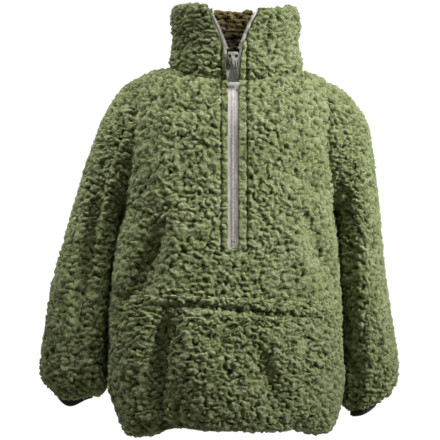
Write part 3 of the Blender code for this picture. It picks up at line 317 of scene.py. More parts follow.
CROWN_SPACE = 0.0037
CROWN_THICK = 0.0019
TAB_PIVOT = Vector(frame["record"]["behaviour"]["joints"][0]["pos_m"])
TAB_TILT = math.radians(-8.0)
TAB_ROWS = ((-0.0435, 0.0085), (-0.0395, 0.0108), (-0.0330, 0.0102), (-0.0152, 0.0056),
            (-0.0100, 0.0053), (-0.0008, 0.0050), (0.0012, 0.0046))
TAB_WINDOW = TAB_ROWS[4][0], TAB_ROWS[5][0]
TAB_THICK = 0.0020
TAB_HOLE = 0.0030
TAB_EDGE = 0.00035
TAB_RIM = 0.0010
TAB_SUNK = 0.0004
END_ROWS = ((0.0, 0.0088), (0.0040, 0.0112), (0.0066, 0.0110))      # up from the tab's lower end
END_PLUS = 0.0008           # the plain end is this much thicker than the tab
BINDING_RIBS = 60
RIB_DEPTH = 0.0004
TACK_WIDTH = 0.0150
TACK_PITCH = 0.0007
TACK_HEIGHT = -0.3086
TACK_DEPTH = 0.0016
TACK_LENGTH = 0.0032
TACK_IN = 0.0006            # middle of a stitch behind the front of the zip's bottom stop
TACK_OVERLAP = 1.05         # its width as a share of the pitch
TACK_ENDS = 0.4             # its ends' depth as a share of its own
TACK_EDGE = 0.00025

# Topstitching beside the zip: distance from the centre line, and where it turns at the bottom
STITCH_LEFT = -0.0215
STITCH_RIGHT = 0.0245
STITCH_BOTTOM = -0.3215
STITCH_ROUND = 0.35         # height of the round end as a share of half its width
STITCH_MEAN = 0.6           # and its mean radius
STITCH_FACING = 0.3         # no groove on the cut edges beside the zip
STITCH_WIDTH = 0.0022
STITCH_DEPTH = 0.0060

BEVEL_ANGLE = math.radians(30)
SHADE_ANGLE = math.radians(35)


def put(tree, kind, values=None, **settings):
    """Add a node to a tree; a value that is a socket is linked."""
    made = tree.nodes.new(kind)
    for name, value in settings.items():
        setattr(made, name, value)
    for name, value in (values or {}).items():
        if isinstance(value, bpy.types.NodeSocket):
            tree.links.new(value, made.inputs[name])
        else:
            made.inputs[name].default_value = value
    return made


def calculate(tree, operation, *values, clamp=False):
    node = put(tree, "ShaderNodeMath", dict(enumerate(values)), operation=operation, use_clamp=clamp)
    return node.outputs[0]


def vectors(tree, operation, *values):
    node = put(tree, "ShaderNodeVectorMath", dict(enumerate(values)), operation=operation)
    return node.outputs[0]


def scaled(tree, vector, factor):
    return put(tree, "ShaderNodeVectorMath", {0: vector, "Scale": factor}, operation="SCALE").outputs[0]


def noise(tree, place, size, detail=0.0, output="Fac"):
    values = {"Vector": place, "Scale": 1 / size, "Detail": detail}
    return put(tree, "ShaderNodeTexNoise", values).outputs[output]


def curl_height(tree, place):
    """Relief of the curls at a place, about 0 in the gaps and 1 on the clumps, in any kind of tree."""
    size, reach = CURL_DRIFT
    drift = vectors(tree, "SUBTRACT", noise(tree, place, size, 1.0, "Color"), (0.5, 0.5, 0.5))
    bent = vectors(tree, "ADD", place, scaled(tree, drift, reach))
    bent = vectors(tree, "MULTIPLY", bent, CURL_STRETCH)
    line = calculate(tree, "SUBTRACT", noise(tree, bent, CURL_CREASE), 0.5)
    line = calculate(tree, "MULTIPLY", calculate(tree, "ABSOLUTE", line), CURL_STEEP, clamp=True)
    line = calculate(tree, "POWER", line, 0.5)
    elsewhere = vectors(tree, "ADD", bent, GATE_OFFSET)
    gate = calculate(tree, "SUBTRACT", noise(tree, elsewhere, CURL_GATE, 1.0), CURL_GATE_FROM)
    gate = calculate(tree, "MULTIPLY", gate, CURL_STEEP, clamp=True)
    line = calculate(tree, "MAXIMUM", line, gate)
    values = {"Vector": bent, "Scale": 1 / CURL_CELL, "Smoothness": CURL_SOFTNESS}
    cell = put(tree, "ShaderNodeTexVoronoi", values, feature="SMOOTH_F1").outputs["Distance"]
    dome = calculate(tree, "SUBTRACT", 1.0, cell, clamp=True)
    beside = vectors(tree, "ADD", bent, SOFT_OFFSET)
    total = calculate(tree, "MULTIPLY", line, GAP_SHARE)
    total = calculate(tree, "MULTIPLY_ADD", dome, CELL_SHARE, total)
    for size, share in ((CURL_SOFT, SOFT_SHARE), (CURL_LOCK, LOCK_SHARE)):
        total = calculate(tree, "MULTIPLY_ADD", noise(tree, beside, size, 1.0), share, total)
    return total


def curly_pile_group():
    """Shader group of the pile: how far a place is out of the gaps, its tone, and fine relief."""
    tree = bpy.data.node_groups.new("curly pile", "ShaderNodeTree")
    tree.interface.new_socket("Place", in_out="INPUT", socket_type="NodeSocketVector")
    for name in ("Height", "Tone", "Relief"):
        tree.interface.new_socket(name, in_out="OUTPUT", socket_type="NodeSocketFloat")
    place = put(tree, "NodeGroupInput").outputs["Place"]
    height = curl_height(tree, place)
    tone = noise(tree, place, TONE_SIZE, 2.0)
    fibre = noise(tree, place, FIBRE_SIZE, 2.0)
    relief = calculate(tree, "MULTIPLY_ADD", fibre, FIBRE_SHARE, height)
    put(tree, "NodeGroupOutput", {"Height": height, "Tone": tone, "Relief": relief})
    return tree


def pile_raiser():
    """Geometry group that lifts a skin by its curls and keeps its place at rest for the material."""
    tree = bpy.data.node_groups.new("raise the pile", "GeometryNodeTree")
    for in_out in ("INPUT", "OUTPUT"):
        tree.interface.new_socket("Geometry", in_out=in_out, socket_type="NodeSocketGeometry")
    cloth = put(tree, "NodeGroupInput").outputs[0]
    place = put(tree, "GeometryNodeInputPosition").outputs[0]
    kept = put(tree, "GeometryNodeStoreNamedAttribute",
               {"Geometry": cloth, "Name": "rest", "Value": place},
               data_type="FLOAT_VECTOR", domain="POINT").outputs[0]
    share = put(tree, "GeometryNodeInputNamedAttribute", {"Name": "pile"}, data_type="FLOAT")
    height = calculate(tree, "SUBTRACT", curl_height(tree, place), PILE_MIDDLE)
    height = calculate(tree, "MULTIPLY", height, share.outputs[0])
    height = calculate(tree, "MULTIPLY", height, PILE)
    normal = put(tree, "GeometryNodeInputNormal").outputs[0]
    lifted = put(tree, "GeometryNodeSetPosition",
                 {"Geometry": kept, "Offset": scaled(tree, normal, height)}).outputs[0]
    put(tree, "NodeGroupOutput", {0: lifted})
    return tree


def principled(name, roughness, metallic=0.0):
    surface = bpy.data.materials.new(name)
    surface.use_nodes = True
    shader = surface.node_tree.nodes["Principled BSDF"]
    shader.inputs["Roughness"].default_value = roughness
    shader.inputs["Metallic"].default_value = metallic
    return surface, surface.node_tree, shader


def colour_ramp(tree, value, stops):
    ramp = put(tree, "ShaderNodeValToRGB", {"Fac": value})
    points = ramp.color_ramp.elements
    while len(points) < len(stops):
        points.new(0.5)
    for point, (position, colour) in zip(points, stops):
        point.position = position
        point.color = (*colour, 1.0)
    return ramp.outputs["Color"]


def finish_surface(tree, shader, colour, height, bump):
    """Link a material's colour and its bump."""
    tree.links.new(colour, shader.inputs["Base Color"])
    values = {"Height": height, "Strength": bump[0], "Distance": bump[1]}
    tree.links.new(put(tree, "ShaderNodeBump", values).outputs[0], shader.inputs["Normal"])


def add_sheen(shader, sheen):
    for name, value in sheen.items():
        shader.inputs[name].default_value = value


def object_place(tree):
    return put(tree, "ShaderNodeTexCoord").outputs["Object"]


def fleece_material(name, group, stops, shades, shade_heights=None):
    """Curly pile: dark in the gaps with painted shade, lighter on the clumps, uneven over the cloth.

    With shade_heights, two heights, painted shade darkens it from the second down to the first.
    """
    surface, tree, shader = principled(name, 0.95)
    place = put(tree, "ShaderNodeAttribute", attribute_name="rest").outputs["Vector"]
    pile = put(tree, "ShaderNodeGroup", {"Place": place}, node_tree=group)
    # Painted shade: the colour darkens towards the gaps by the curls' height
    colour = colour_ramp(tree, pile.outputs["Height"], stops)
    tone = pile.outputs["Tone"]
    # Painted shade: the tone is pulled down deeper inside the neck
    if shade_heights:
        height = put(tree, "ShaderNodeSeparateXYZ", {"Vector": place}).outputs["Z"]
        values = {"Value": height, "From Min": shade_heights[0], "From Max": shade_heights[1]}
        tone = calculate(tree, "MULTIPLY", tone, put(tree, "ShaderNodeMapRange", values).outputs[0])
    patches = colour_ramp(tree, tone, shades)
    mixed = put(tree, "ShaderNodeMix", {0: 1.0, 6: colour, 7: patches},
                data_type="RGBA", blend_type="MULTIPLY")
    finish_surface(tree, shader, mixed.outputs[2], pile.outputs["Relief"], PILE_BUMP)
    add_sheen(shader, PILE_SHEEN)
    return surface


def backing_material():
    """The knitted wrong side of the fleece."""
    surface, tree, shader = principled("knitted backing", 0.9)
    rows = put(tree, "ShaderNodeTexWave",
               {"Vector": object_place(tree), "Scale": KNIT_ROWS, "Distortion": 1.5},
               bands_direction="Z").outputs["Fac"]
    finish_surface(tree, shader, colour_ramp(tree, rows, BACKING_STOPS), rows, BACKING_BUMP)
    return surface


def elastic_material():
    surface, tree, shader = principled("ribbed elastic", 0.8)
    threads = noise(tree, object_place(tree), THREAD_SIZE, 2.0)
    finish_surface(tree, shader, colour_ramp(tree, threads, ELASTIC_STOPS), threads, ELASTIC_BUMP)
    return surface


def tape_material():
    """Fine twill of the zip's tapes."""
    surface, tree, shader = principled("zip tape twill", 0.55)
    place = object_place(tree)
    turned = put(tree, "ShaderNodeMapping", {"Vector": place, "Rotation": TWILL_TURN}).outputs[0]
    twill = put(tree, "ShaderNodeTexWave", {"Vector": turned, "Scale": TWILL_ROWS, "Distortion": 0.4},
                bands_direction="X").outputs["Fac"]
    wear = noise(tree, place, WEAR_SIZE, 2.0)
    finish_surface(tree, shader, colour_ramp(tree, wear, TAPE_STOPS), twill, TAPE_BUMP)
    add_sheen(shader, TAPE_SHEEN)
    return surface


def metal_material(name, dark, light, roughness, metallic):
    """Plated metal, brighter where it is rubbed."""
    surface, tree, shader = principled(name, roughness, metallic)
    place = object_place(tree)
    scuffs = noise(tree, place, SCUFF_SIZE, 3.0)
    grain = noise(tree, place, GRAIN_SIZE, 2.0)
    colour = colour_ramp(tree, scuffs, ((0.35, dark), (0.65, light)))
    finish_surface(tree, shader, colour, grain, METAL_BUMP)
    return surface


def deselect_all():
    for item in bpy.context.view_layer.objects:
        item.select_set(False)


def make_active(piece):
    deselect_all()
    piece.select_set(True)
    bpy.context.view_layer.objects.active = piece


def edit(piece, mode):
    make_active(piece)
    bpy.ops.object.mode_set(mode="EDIT")
    bpy.ops.mesh.select_mode(type=mode)
    bpy.ops.mesh.select_all(action="DESELECT")


def finish_edit():
    bpy.ops.object.mode_set(mode="OBJECT")


def apply_modifiers(piece):
    make_active(piece)
    for modifier in list(piece.modifiers):
        bpy.ops.object.modifier_apply(modifier=modifier.name)


def copy_of_node(node):
    """A CAD node's mesh as a new piece, its loose triangles merged and paired to quads."""
    source = frame["nodes"][node]
    piece = bpy.data.objects.new("cloth_" + node, source.data.copy())
    bpy.context.scene.collection.objects.link(piece)
    piece.data.materials.clear()
    edit(piece, "VERT")
    bpy.ops.mesh.select_all(action="SELECT")
    bpy.ops.mesh.remove_doubles(threshold=MERGE_DISTANCE)
    bpy.ops.mesh.tris_convert_to_quads(face_threshold=QUAD_FACE_ANGLE, shape_threshold=QUAD_SHAPE_ANGLE)
    finish_edit()
    return piece


def mark_skin(piece, starts):
    """Give each face of the cloth that spreads from a place its own material, the rest the backing."""
    for face in piece.data.polygons:
        face.material_index = BACKING
    for index, near in starts:
        edit(piece, "FACE")
        mesh = bmesh.from_edit_mesh(piece.data)
        start = min(mesh.faces, key=lambda face: (face.calc_center_median() - Vector(near)).length)
        start.select = True
        bmesh.update_edit_mesh(piece.data)
        bpy.ops.mesh.faces_select_linked_flat(sharpness=SKIN_ANGLE)
        mesh = bmesh.from_edit_mesh(piece.data)
        for face in mesh.faces:
            if face.select:
                face.material_index = index
        bmesh.update_edit_mesh(piece.data)
        finish_edit()


def crease_rims(piece):
    """Keep the cloth's edges and corners sharp when its mesh is subdivided."""
    edit(piece, "EDGE")
    mesh = bmesh.from_edit_mesh(piece.data)
    for edge in mesh.edges:
        if len(edge.link_faces) != 2:
            continue
        first, second = edge.link_faces
        behind = first.material_index == BACKING
        at_rim = behind != (second.material_index == BACKING)
        if at_rim or (behind and edge.calc_face_angle() > RIM_ANGLE):
            edge.select = True
    bmesh.update_edit_mesh(piece.data)
    bpy.ops.transform.edge_crease(value=1.0)
    finish_edit()


def subdivide(piece, levels, kind):
    smooth = piece.modifiers.new("smooth", "SUBSURF")
    smooth.subdivision_type = kind
    smooth.levels = levels
    smooth.render_levels = levels
    apply_modifiers(piece)


def refine(piece, cuts):
    """Smooth the whole cloth, then cut the faces that carry pile finer."""
    subdivide(piece, SMOOTH_LEVELS, "CATMULL_CLARK")
    edit(piece, "FACE")
    mesh = bmesh.from_edit_mesh(piece.data)
    for face in mesh.faces:
        face.select = face.material_index != BACKING
    bmesh.update_edit_mesh(piece.data)
    bpy.ops.mesh.subdivide(number_cuts=cuts, smoothness=0.0, ngon=False)
    finish_edit()


def places_of(piece):
    values = np.empty(len(piece.data.vertices) * 3)
    piece.data.vertices.foreach_get("co", values)
    return values.reshape(-1, 3)


def normals_of(piece):
    values = np.empty(len(piece.data.vertices) * 3)
    piece.data.vertex_normals.foreach_get("vector", values)
    return values.reshape(-1, 3)


def set_places(piece, places):
    piece.data.vertices.foreach_set("co", places.ravel())
    piece.data.update()


def eased(share):
    share = np.clip(share, 0.0, 1.0)
    return share * share * (3.0 - 2.0 * share)


def crease_depth(creases, x, z):
    """How far the listed creases sink or lift the places seen at x, z."""
    total = np.zeros(len(x))
    for x0, z0, x1, z1, x2, z2, half_width, depth in creases:
        best = np.full(len(x), 1.0)
        at = np.zeros(len(x))
        for t in np.linspace(0.0, 1.0, CREASE_STEPS):
            bend = 4 * t * (1 - t)
            px = x0 + (x2 - x0) * t + (x1 - (x0 + x2) / 2) * bend
            pz = z0 + (z2 - z0) * t + (z1 - (z0 + z2) / 2) * bend
            distance = np.hypot(x - px, z - pz)
            closer = distance < best
            best[closer] = distance[closer]
            at[closer] = t
        total += depth * np.exp(-(best / half_width) ** 2) * np.sin(np.pi * at) ** CREASE_ENDS
    return total


def swell(piece, bulges):
    """Push the cloth out around places, each given with its reach and its height."""
    for centre, reach, height in bulges:
        places, normals = places_of(piece), outward_of(piece)
        away = (places - np.array(centre)) / np.array(reach)
        lift = height * np.exp(-(away ** 2).sum(axis=1))
        set_places(piece, places + normals * lift[:, None])


def settle(piece, shifts):
    """Move the cloth a little where the photo shows it fuller, longer or drawn in."""
    places = places_of(piece)
    moved = places.copy()
    for (x, z), (reach_x, reach_z), (shift_x, shift_z) in shifts:
        away = ((places[:, 0] - x) / reach_x) ** 2 + ((places[:, 2] - z) / reach_z) ** 2
        share = np.exp(-away)
        moved[:, 0] += shift_x * share
        moved[:, 2] += shift_z * share
    set_places(piece, moved)


def outward_of(piece):
    """The way out of the cloth at each point, also for the points of its wrong side."""
    normals = normals_of(piece)
    normals[skin_share(piece) < 0.5] *= -1.0
    return normals


def press(piece, creases, facing):
    """Sink creases into the cloth that looks towards the front, -1, or the back, 1."""
    places, normals = places_of(piece), outward_of(piece)
    turned = eased((normals[:, 1] * facing - FACING_FROM) / FACING_OVER)
    depth = crease_depth(creases, places[:, 0], places[:, 2]) * turned
    set_places(piece, places + normals * depth[:, None])


def skin_share(piece):
    """1 for the points of the faces that carry pile, 0 for the others."""
    share = np.zeros(len(piece.data.vertices))
    for face in piece.data.polygons:
        if face.material_index != BACKING:
            share[list(face.vertices)] = 1.0
    return share


def seam_distance(piece, share):
    """Distance of each point of the skin from the nearest rim."""
    places = places_of(piece)
    rim = set()
    for face in piece.data.polygons:
        if face.material_index == BACKING:
            rim.update(v for v in face.vertices if share[v] > 0.5)
    tree = KDTree(len(rim))
    for index in rim:
        tree.insert(places[index], index)
    tree.balance()
    distance = np.ones(len(places))
    for index in np.nonzero(share > 0.5)[0]:
        distance[index] = tree.find(places[index])[2]
    return distance


def beside_zip(places):
    """How far a place lies in the strip of flattened pile along the zip."""
    x, y, z = places.T
    across = np.where(x < 0, x / STITCH_LEFT, x / STITCH_RIGHT)
    inside = 1 - eased((across - PLACKET_FROM) / PLACKET_OVER)
    return inside * eased((z - STITCH_BOTTOM) / PLACKET_END) * (y < 0) * (z < PLACKET_TOP)


def topstitch(piece):
    """Sink the stitched line that runs down beside the zip and round its end."""
    places, normals = places_of(piece), normals_of(piece)
    x, y, z = places.T
    side = np.where(x < 0, x - STITCH_LEFT, x - STITCH_RIGHT)
    middle = (STITCH_LEFT + STITCH_RIGHT) / 2
    half = (STITCH_RIGHT - STITCH_LEFT) / 2
    rise = half * STITCH_ROUND
    corner = STITCH_BOTTOM + rise
    round_end = np.abs(np.hypot((x - middle) / half, (z - corner) / rise) - 1) * half * STITCH_MEAN
    distance = np.where(z > corner, np.abs(side), round_end)
    groove = STITCH_DEPTH * np.exp(-(distance / STITCH_WIDTH) ** 2) * (y < 0) * skin_share(piece)
    groove *= np.abs(normals[:, 1]) > STITCH_FACING
    set_places(piece, places - normals * groove[:, None])


def raise_pile(piece, raiser, placket=False):
    """Store how tall the pile is at each point, then lift the skin by its curls."""
    share = skin_share(piece)
    height = share * (SEAM_PILE + (1 - SEAM_PILE) * eased(seam_distance(piece, share) / SEAM_DIP))
    if placket:
        height *= 1 - (1 - PLACKET_PILE) * beside_zip(places_of(piece))
    stored = piece.data.attributes.new("pile", "FLOAT", "POINT")
    stored.data.foreach_set("value", height.astype(np.float32))
    lift = piece.modifiers.new("pile", "NODES")
    lift.node_group = raiser
    apply_modifiers(piece)
    piece.data.shade_smooth()


def dress(node, starts, cuts, materials, raiser, placket=False,
          creases=(), bulges=(), shifts=()):
    """One cut piece of fleece: refined from its solid, creased, its pile raised."""
    piece = copy_of_node(node)
    mark_skin(piece, starts)
    crease_rims(piece)
    refine(piece, cuts)
    swell(piece, bulges)
    settle(piece, SHOULDER_SHIFTS + shifts)
    for table, facing in creases:
        press(piece, table, facing)
    if placket:
        topstitch(piece)
    raise_pile(piece, raiser, placket)
    for surface in materials:
        piece.data.materials.append(surface)
    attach(piece, "garment")
    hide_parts(node)


def start_block(name, centre, size):
    """A block at its size and place, left in edit mode for shaping."""
    deselect_all()
    bpy.ops.mesh.primitive_cube_add(size=1.0, location=centre)
    piece = bpy.context.object
    piece.name = name
    piece.scale = size
    bpy.ops.object.transform_apply(location=True, rotation=False, scale=True)
    edit(piece, "FACE")
    return piece


def select_faces(piece, wanted):
    mesh = bmesh.from_edit_mesh(piece.data)
    for face in mesh.faces:
        face.select = bool(wanted(face.calc_center_median(), face.normal))
    bmesh.update_edit_mesh(piece.data)


def cut_level(piece, axis, value):
    """Cut the whole block across one axis."""
    normal = Vector((0.0, 0.0, 0.0))
    normal[axis] = 1.0
    bpy.ops.mesh.select_all(action="SELECT")
    bpy.ops.mesh.bisect(plane_co=normal * value, plane_no=normal)
    bpy.ops.mesh.select_all(action="DESELECT")


def start_rows(name, y, depth, rows):
    """A block between the lowest and highest row, each row of its points given its half-width."""
    low, high = rows[0][0], rows[-1][0]
    piece = start_block(name, (0.0, y, (low + high) / 2), (2 * rows[0][1], depth, high - low))
    for height, _ in rows[1:-1]:
        cut_level(piece, 2, height)
    for height, half_width in rows:
        mesh = bmesh.from_edit_mesh(piece.data)
        for point in mesh.verts:
            if abs(point.co.z - height) < 0.00005:
                point.co.x = math.copysign(half_width, point.co.x)
        bmesh.update_edit_mesh(piece.data)
    return piece


def bevel_all(piece, width, segments=2):
    finish_edit()
    bevel = piece.modifiers.new("rounded edges", "BEVEL")
    bevel.width = width
    bevel.segments = segments
    bevel.limit_method = "ANGLE"
    bevel.angle_limit = BEVEL_ANGLE
    apply_modifiers(piece)
    bpy.ops.object.shade_smooth_by_angle(angle=SHADE_ANGLE)


def join(first, *others):
    deselect_all()
    for piece in (first, *others):
        piece.select_set(True)
    bpy.context.view_layer.objects.active = first
    bpy.ops.object.join()
    return first


def place_part(piece, surface, slot, body, *nodes):
    piece.data.materials.clear()
    piece.data.materials.append(surface)
    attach(piece, body)
    if nodes:
        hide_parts(*nodes)


def chain_line(node, count=44):
    """Middle of the front of a zip's chain, from its lower end to its upper end."""
    solid = frame["nodes"][node]
    low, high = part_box(node)
    line = []
    for z in np.linspace(low[2] + CHAIN_END, high[2] - CHAIN_END, count):
        hits = []
        for x in np.linspace(low[0], high[0], CHAIN_RAYS):
            found, place = solid.ray_cast((x, low[1] - RAY_START, z), (0.0, 1.0, 0.0))[:2]
            if found:
                hits.append(place)
        if hits:
            line.append(sum(hits, Vector()) / len(hits))
    return line


def along(line, pitch):
    """Places a pitch apart on a line, each with the way it runs there."""
    spots = []
    left = pitch / 2
    for start, end in zip(line, line[1:]):
        length = (end - start).length
        way = (end - start) / length
        while left <= length:
            spots.append((start + way * left, way))
            left += pitch
        left -= length
    return spots


def make_tooth():
    """One tooth, its head towards +X, with a rounded front."""
    tooth = start_block("tooth", (0.0, 0.0, 0.0), TOOTH_SIZE)
    cut_level(tooth, 0, TOOTH_SIZE[0] * TOOTH_NECK)
    select_faces(tooth, lambda place, normal: normal.x > 0.9)
    bpy.ops.transform.resize(value=TOOTH_HEAD, center_override=(TOOTH_SIZE[0] / 2, 0.0, 0.0))
    select_faces(tooth, lambda place, normal: normal.y < -0.9)
    bpy.ops.mesh.bevel(offset=THIN_EDGE, segments=1, affect="EDGES")
    finish_edit()
    return tooth


def make_chain(name, tooth, rows, surface, *nodes):
    """Rows of teeth: for each the line, the side its heads point to and its start."""
    chain = bmesh.new()
    for line, side, start in rows:
        for place, way in along(line, TOOTH_PITCH):
            across = Vector((side, 0.0, 0.0))
            across = (across - way * across.dot(way)).normalized()
            out = across.cross(way).normalized() * side
            turn = [Vector(row) for row in zip(across, out, way)]
            middle = place + way * start - across * TOOTH_IN
            before = len(chain.verts)
            chain.from_mesh(tooth.data)
            chain.verts.ensure_lookup_table()
            for point in chain.verts[before:]:
                point.co = middle + Vector(row.dot(point.co) for row in turn)
    bmesh.ops.recalc_face_normals(chain, faces=chain.faces)
    piece = bpy.data.objects.new(name, bpy.data.meshes.new(name))
    chain.to_mesh(piece.data)
    chain.free()
    bpy.context.scene.collection.objects.link(piece)
    place_part(piece, surface, "zip_teeth", "garment", *nodes)


def make_slider(surface, shade_surface):
    """Two plates held by a wedge, with mouths for the teeth, and a crown over the tab's bar."""
    plates = []
    for name, y in (("slider_front", SLIDER_FACE + SLIDER_PLATE / 2),
                    ("slider_back", SLIDER_FACE + SLIDER_DEPTH - SLIDER_PLATE / 2)):
        plate = start_rows(name, y, SLIDER_PLATE, SLIDER_ROWS)
        for x in (-SPINE_HALF, SPINE_HALF):
            cut_level(plate, 0, x)
        if name == "slider_front":
            select_faces(plate, lambda place, normal: normal.y < -0.9 and abs(place.x) > SPINE_HALF
                         and MOUTH_LEVELS[0] < place.z < MOUTH_LEVELS[1])
            bpy.ops.mesh.inset(thickness=MOUTH_RIM, use_individual=True)
            bpy.ops.mesh.delete(type="FACE")
        bevel_all(plate, EDGE)
        plates.append(plate)
    middle, depth = SLIDER_FACE + SLIDER_DEPTH / 2, SLIDER_DEPTH - 2 * SLIDER_PLATE + OVERLAP
    wedge = start_rows("slider_wedge", middle, depth, WEDGE_ROWS)
    bevel_all(wedge, THIN_EDGE)
    rails = []
    for side in (-1, 1):
        x, back, z = MOUTH_PLACE
        # Each mouth block fills the hollow behind an opening with painted shade
        mouth = start_block("slider_mouth", (side * x, SLIDER_FACE + back, z), MOUTH_SIZE)
        finish_edit()
        rail = start_block("slider_rail", (side * RAIL_PLACE[0], middle, RAIL_PLACE[1]),
                           (RAIL_SIZE[0], depth, RAIL_SIZE[1]))
        bevel_all(rail, THIN_EDGE)
        rails += [mouth, rail]
    strap_y = SLIDER_FACE - CROWN_SPACE - CROWN_THICK / 2
    crown = start_block("slider_crown", (0.0, strap_y, (CROWN_TOP + CROWN_BOTTOM) / 2),
                        (2 * CROWN_HALF, CROWN_THICK, CROWN_TOP - CROWN_BOTTOM))
    feet = CROWN_BOTTOM + CROWN_FOOT, CROWN_TOP - CROWN_FOOT
    for z in feet:
        cut_level(crown, 2, z)
    select_faces(crown, lambda place, normal: normal.y > 0.9 and not feet[0] < place.z < feet[1])
    bpy.ops.mesh.extrude_region_move(TRANSFORM_OT_translate={"value": (0.0, CROWN_SPACE + CROWN_ROOT, 0.0)})
    bevel_all(crown, CROWN_EDGE)
    # Back plate, wedge, rails and mouth blocks take the painted shade of the slider's inside
    inside = join(plates[1], wedge, *rails)
    inside.name = "slider_inside"
    place_part(inside, shade_surface, "zip_metal", "garment")
    slider = join(plates[0], crown)
    slider.name = "slider_body"
    place_part(slider, surface, "zip_metal", "garment", "slider")


def make_binding(side, surface):
    """A cuff's elastic: the solid's own band, refined and drawn into fine ribs."""
    band = copy_of_node("cuff_binding_" + side)
    subdivide(band, BINDING_LEVELS, "SIMPLE")
    settle(band, CUFF_SHIFTS[side])
    places, normals = places_of(band), normals_of(band)
    middle = places.mean(axis=0)
    turn = np.arctan2(places[:, 1] - middle[1], places[:, 0] - middle[0])
    ribs = RIB_DEPTH * np.cos(turn * BINDING_RIBS)
    set_places(band, places + normals * ribs[:, None])
    band.data.shade_smooth()
    band.data.materials.append(surface)
    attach(band, "garment")
    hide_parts("cuff_binding_" + side)


def make_bar_tack(surface):
    """Close satin stitches across the lower end of the zip."""
    solid = frame["nodes"]["bottom_stop"]
    low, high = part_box("bottom_stop")
    front = solid.ray_cast((0.0, low[1] - RAY_START, (low[2] + high[2]) / 2), (0.0, 1.0, 0.0))[1].y
    stitches = []
    for x in np.arange(-TACK_WIDTH / 2, TACK_WIDTH / 2, TACK_PITCH):
        stitch = start_block("stitch", (x + TACK_PITCH / 2, front + TACK_IN, TACK_HEIGHT),
                             (TACK_PITCH * TACK_OVERLAP, TACK_DEPTH, TACK_LENGTH))
        select_faces(stitch, lambda place, normal: abs(normal.z) > 0.9)
        bpy.ops.transform.resize(value=(1.0, TACK_ENDS, 1.0),
                                 center_override=(x, front + 2 * TACK_IN, TACK_HEIGHT))
        bevel_all(stitch, TACK_EDGE, 1)
        stitches.append(stitch)
    tack = join(*stitches)
    tack.name = "zip_bar_tack"
    place_part(tack, surface, "zip_tape", "garment")


def make_pull_tab(plate_surface, metal):
    """A flat tab with a window for the crown, a sunk face and a plain metal end."""
    low = TAB_ROWS[0][0]
    tab = start_rows("tab_plate", 0.0, TAB_THICK, TAB_ROWS)
    for x in (-TAB_HOLE, TAB_HOLE):
        cut_level(tab, 0, x)
    select_faces(tab, lambda place, normal: abs(normal.y) > 0.9 and abs(place.x) < TAB_HOLE
                 and TAB_WINDOW[0] < place.z < TAB_WINDOW[1])
    bpy.ops.mesh.bridge_edge_loops()
    for facing in (-1, 1):
        select_faces(tab, lambda place, normal: normal.y * facing > 0.9
                     and low + END_ROWS[1][0] < place.z < TAB_WINDOW[0])
        bpy.ops.mesh.inset(thickness=TAB_RIM, depth=-TAB_SUNK)
    bevel_all(tab, TAB_EDGE)
    rows = [(low + up, half_width) for up, half_width in END_ROWS]
    end = start_rows("tab_end", 0.0, TAB_THICK + END_PLUS, rows)
    bevel_all(end, EDGE)
    turn = math.cos(TAB_TILT), math.sin(TAB_TILT)
    for piece in (tab, end):
        places = places_of(piece)
        y, z = places[:, 1].copy(), places[:, 2].copy()
        places[:, 1] = TAB_PIVOT.y + y * turn[0] - z * turn[1]
        places[:, 2] = TAB_PIVOT.z + y * turn[1] + z * turn[0]
        set_places(piece, places)
    place_part(tab, plate_surface, "zip_metal", "pull_tab", "pull_tab")
    place_part(end, metal, "zip_metal", "pull_tab")


def make_stage():
    deselect_all()
    bpy.ops.mesh.primitive_plane_add(size=FLOOR_SIZE, location=(0.0, 0.0, FLOOR_LEVEL))
    floor = bpy.context.object
    floor.name = "floor"
    surface, tree, shader = principled("pale floor", 0.85)
    glow, strength = FLOOR_GLOW
    shader.inputs["Base Color"].default_value = FLOOR_COLOUR
    shader.inputs["Emission Color"].default_value = glow
    seen = put(tree, "ShaderNodeLightPath").outputs["Is Camera Ray"]
    tree.links.new(calculate(tree, "MULTIPLY", seen, strength), shader.inputs["Emission Strength"])
    floor.data.materials.append(surface)


def make_light(name, place, size, power, spread, target):
    light = bpy.data.lights.new(name, "AREA")
    light.size = size
    light.energy = power
    light.spread = math.radians(spread)
    lamp = bpy.data.objects.new(name, light)
    lamp.location = place
    lamp.rotation_euler = (Vector(target) - Vector(place)).to_track_quat("-Z", "Y").to_euler()
    bpy.context.scene.collection.objects.link(lamp)


def make_camera():
    lens = bpy.data.cameras.new("camera")
    lens.sensor_width = SENSOR_WIDTH
    lens.lens = SENSOR_WIDTH * CAMERA_DISTANCE / VIEW_WIDTH
    camera = bpy.data.objects.new("camera", lens)
    camera.location = VIEW_CENTRE - Vector((0.0, CAMERA_DISTANCE, 0.0))
    camera.rotation_euler = (math.radians(90), 0.0, 0.0)
    bpy.context.scene.collection.objects.link(camera)
    bpy.context.scene.camera = camera


def make_world():
    """White to the camera, soft and dimmer as light."""
    world = bpy.data.worlds.new("studio")
    bpy.context.scene.world = world
    world.use_nodes = True
    tree = world.node_tree
    seen = put(tree, "ShaderNodeLightPath").outputs["Is Camera Ray"]
    strength = calculate(tree, "MULTIPLY_ADD", seen, WORLD_SEEN, WORLD_LIGHT)
    tree.links.new(strength, tree.nodes["Background"].inputs["Strength"])
    colour = put(tree, "ShaderNodeMix", {0: seen, 6: WORLD_WARM, 7: WHITE}, data_type="RGBA")
    tree.links.new(colour.outputs[2], tree.nodes["Background"].inputs["Color"])


make_camera()
make_stage()
make_world()
for settings in LIGHTS:
    make_light(*settings)
bpy.context.scene.view_settings.view_transform = "Standard"

pile_group = curly_pile_group()
raiser = pile_raiser()
fleece = fleece_material("curly fleece", pile_group, PILE_GREEN_AND_GAP_SHADE, GREEN_SHADES)
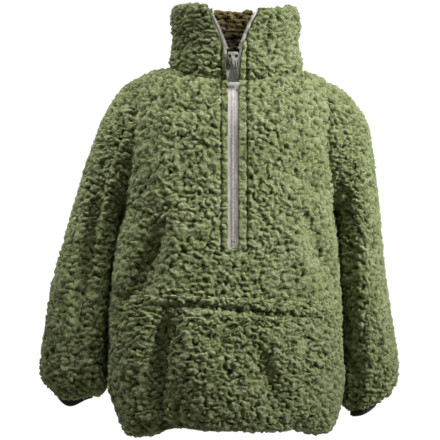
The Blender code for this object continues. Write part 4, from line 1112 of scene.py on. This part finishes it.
# The neck's inside: the fleece in painted shade
neck_fleece_in_painted_shade = fleece_material("curly fleece inside the neck in painted shade", pile_group, NECK_STOPS_IN_PAINTED_SHADE, NECK_PATCHES_IN_PAINTED_SHADE,
                              NECK_SHADE_HEIGHTS)
elastic = elastic_material()
twill = tape_material()
metals = {name: metal_material(name, *values) for name, values in METALS.items()}
slider_metal = metals["zip slider metal"]

cloth = (fleece, neck_fleece_in_painted_shade, backing_material())
dress("front", [(0, (0.06, -0.14, -0.20))], 1, cloth, raiser,
      placket=True, creases=((FRONT_CREASES, -1),), bulges=BODY_BULGES, shifts=HEM_SHIFTS)
dress("back", [(0, (0.0, 0.13, -0.20))], 1, cloth, raiser,
      creases=((BACK_CREASES, 1),), bulges=BODY_BULGES, shifts=HEM_SHIFTS)
for side, sign in (("left", -1), ("right", 1)):
    dress("sleeve_" + side, [(0, (sign * 0.30, 0.0, -0.30))], 2, cloth, raiser,
          creases=((SLEEVE_CREASES[side], -1), (SLEEVE_BACK_CREASES[side], 1)),
          bulges=SLEEVE_BULGES[side], shifts=CUFF_SHIFTS[side])
dress("pocket", [(0, (0.0, -0.18, -0.50))], 2, cloth, raiser,
      creases=((POCKET_CREASES, -1),), shifts=HEM_SHIFTS)
neck_starts = [(0, (0.0, 0.10, 0.05)), (1, (0.0, 0.06, 0.05)), (1, (0.0, 0.07, 0.125))]
dress("collar", neck_starts, 1, cloth, raiser, placket=True)

tooth = make_tooth()
closed = chain_line("zip_chain", 90)
make_chain("zip_teeth_closed", tooth, ((closed, 1, 0.0), (closed, -1, TOOTH_PITCH / 2)),
           metals["zip teeth"], "zip_chain")
for side, word in ((1, "left"), (-1, "right")):
    make_chain("zip_teeth_open_" + word, tooth, ((chain_line("zip_chain_open_" + word), side, 0.0),),
               metals["zip teeth"], "zip_chain_open_" + word)
bpy.data.objects.remove(tooth)
make_slider(slider_metal, metals["metal inside the slider in painted shade"])
make_pull_tab(metals["dark tab metal"], metals["pale metal with painted reflection"])
make_bar_tack(twill)
make_binding("left", elastic)
make_binding("right", elastic)

for node, surface in (
    ("zip_tape_left", twill), ("zip_tape_right", twill), ("bottom_stop", slider_metal),
    ("top_stop_left", slider_metal), ("top_stop_right", slider_metal),
):
    frame["nodes"][node].data.materials.clear()
    frame["nodes"][node].data.materials.append(surface)
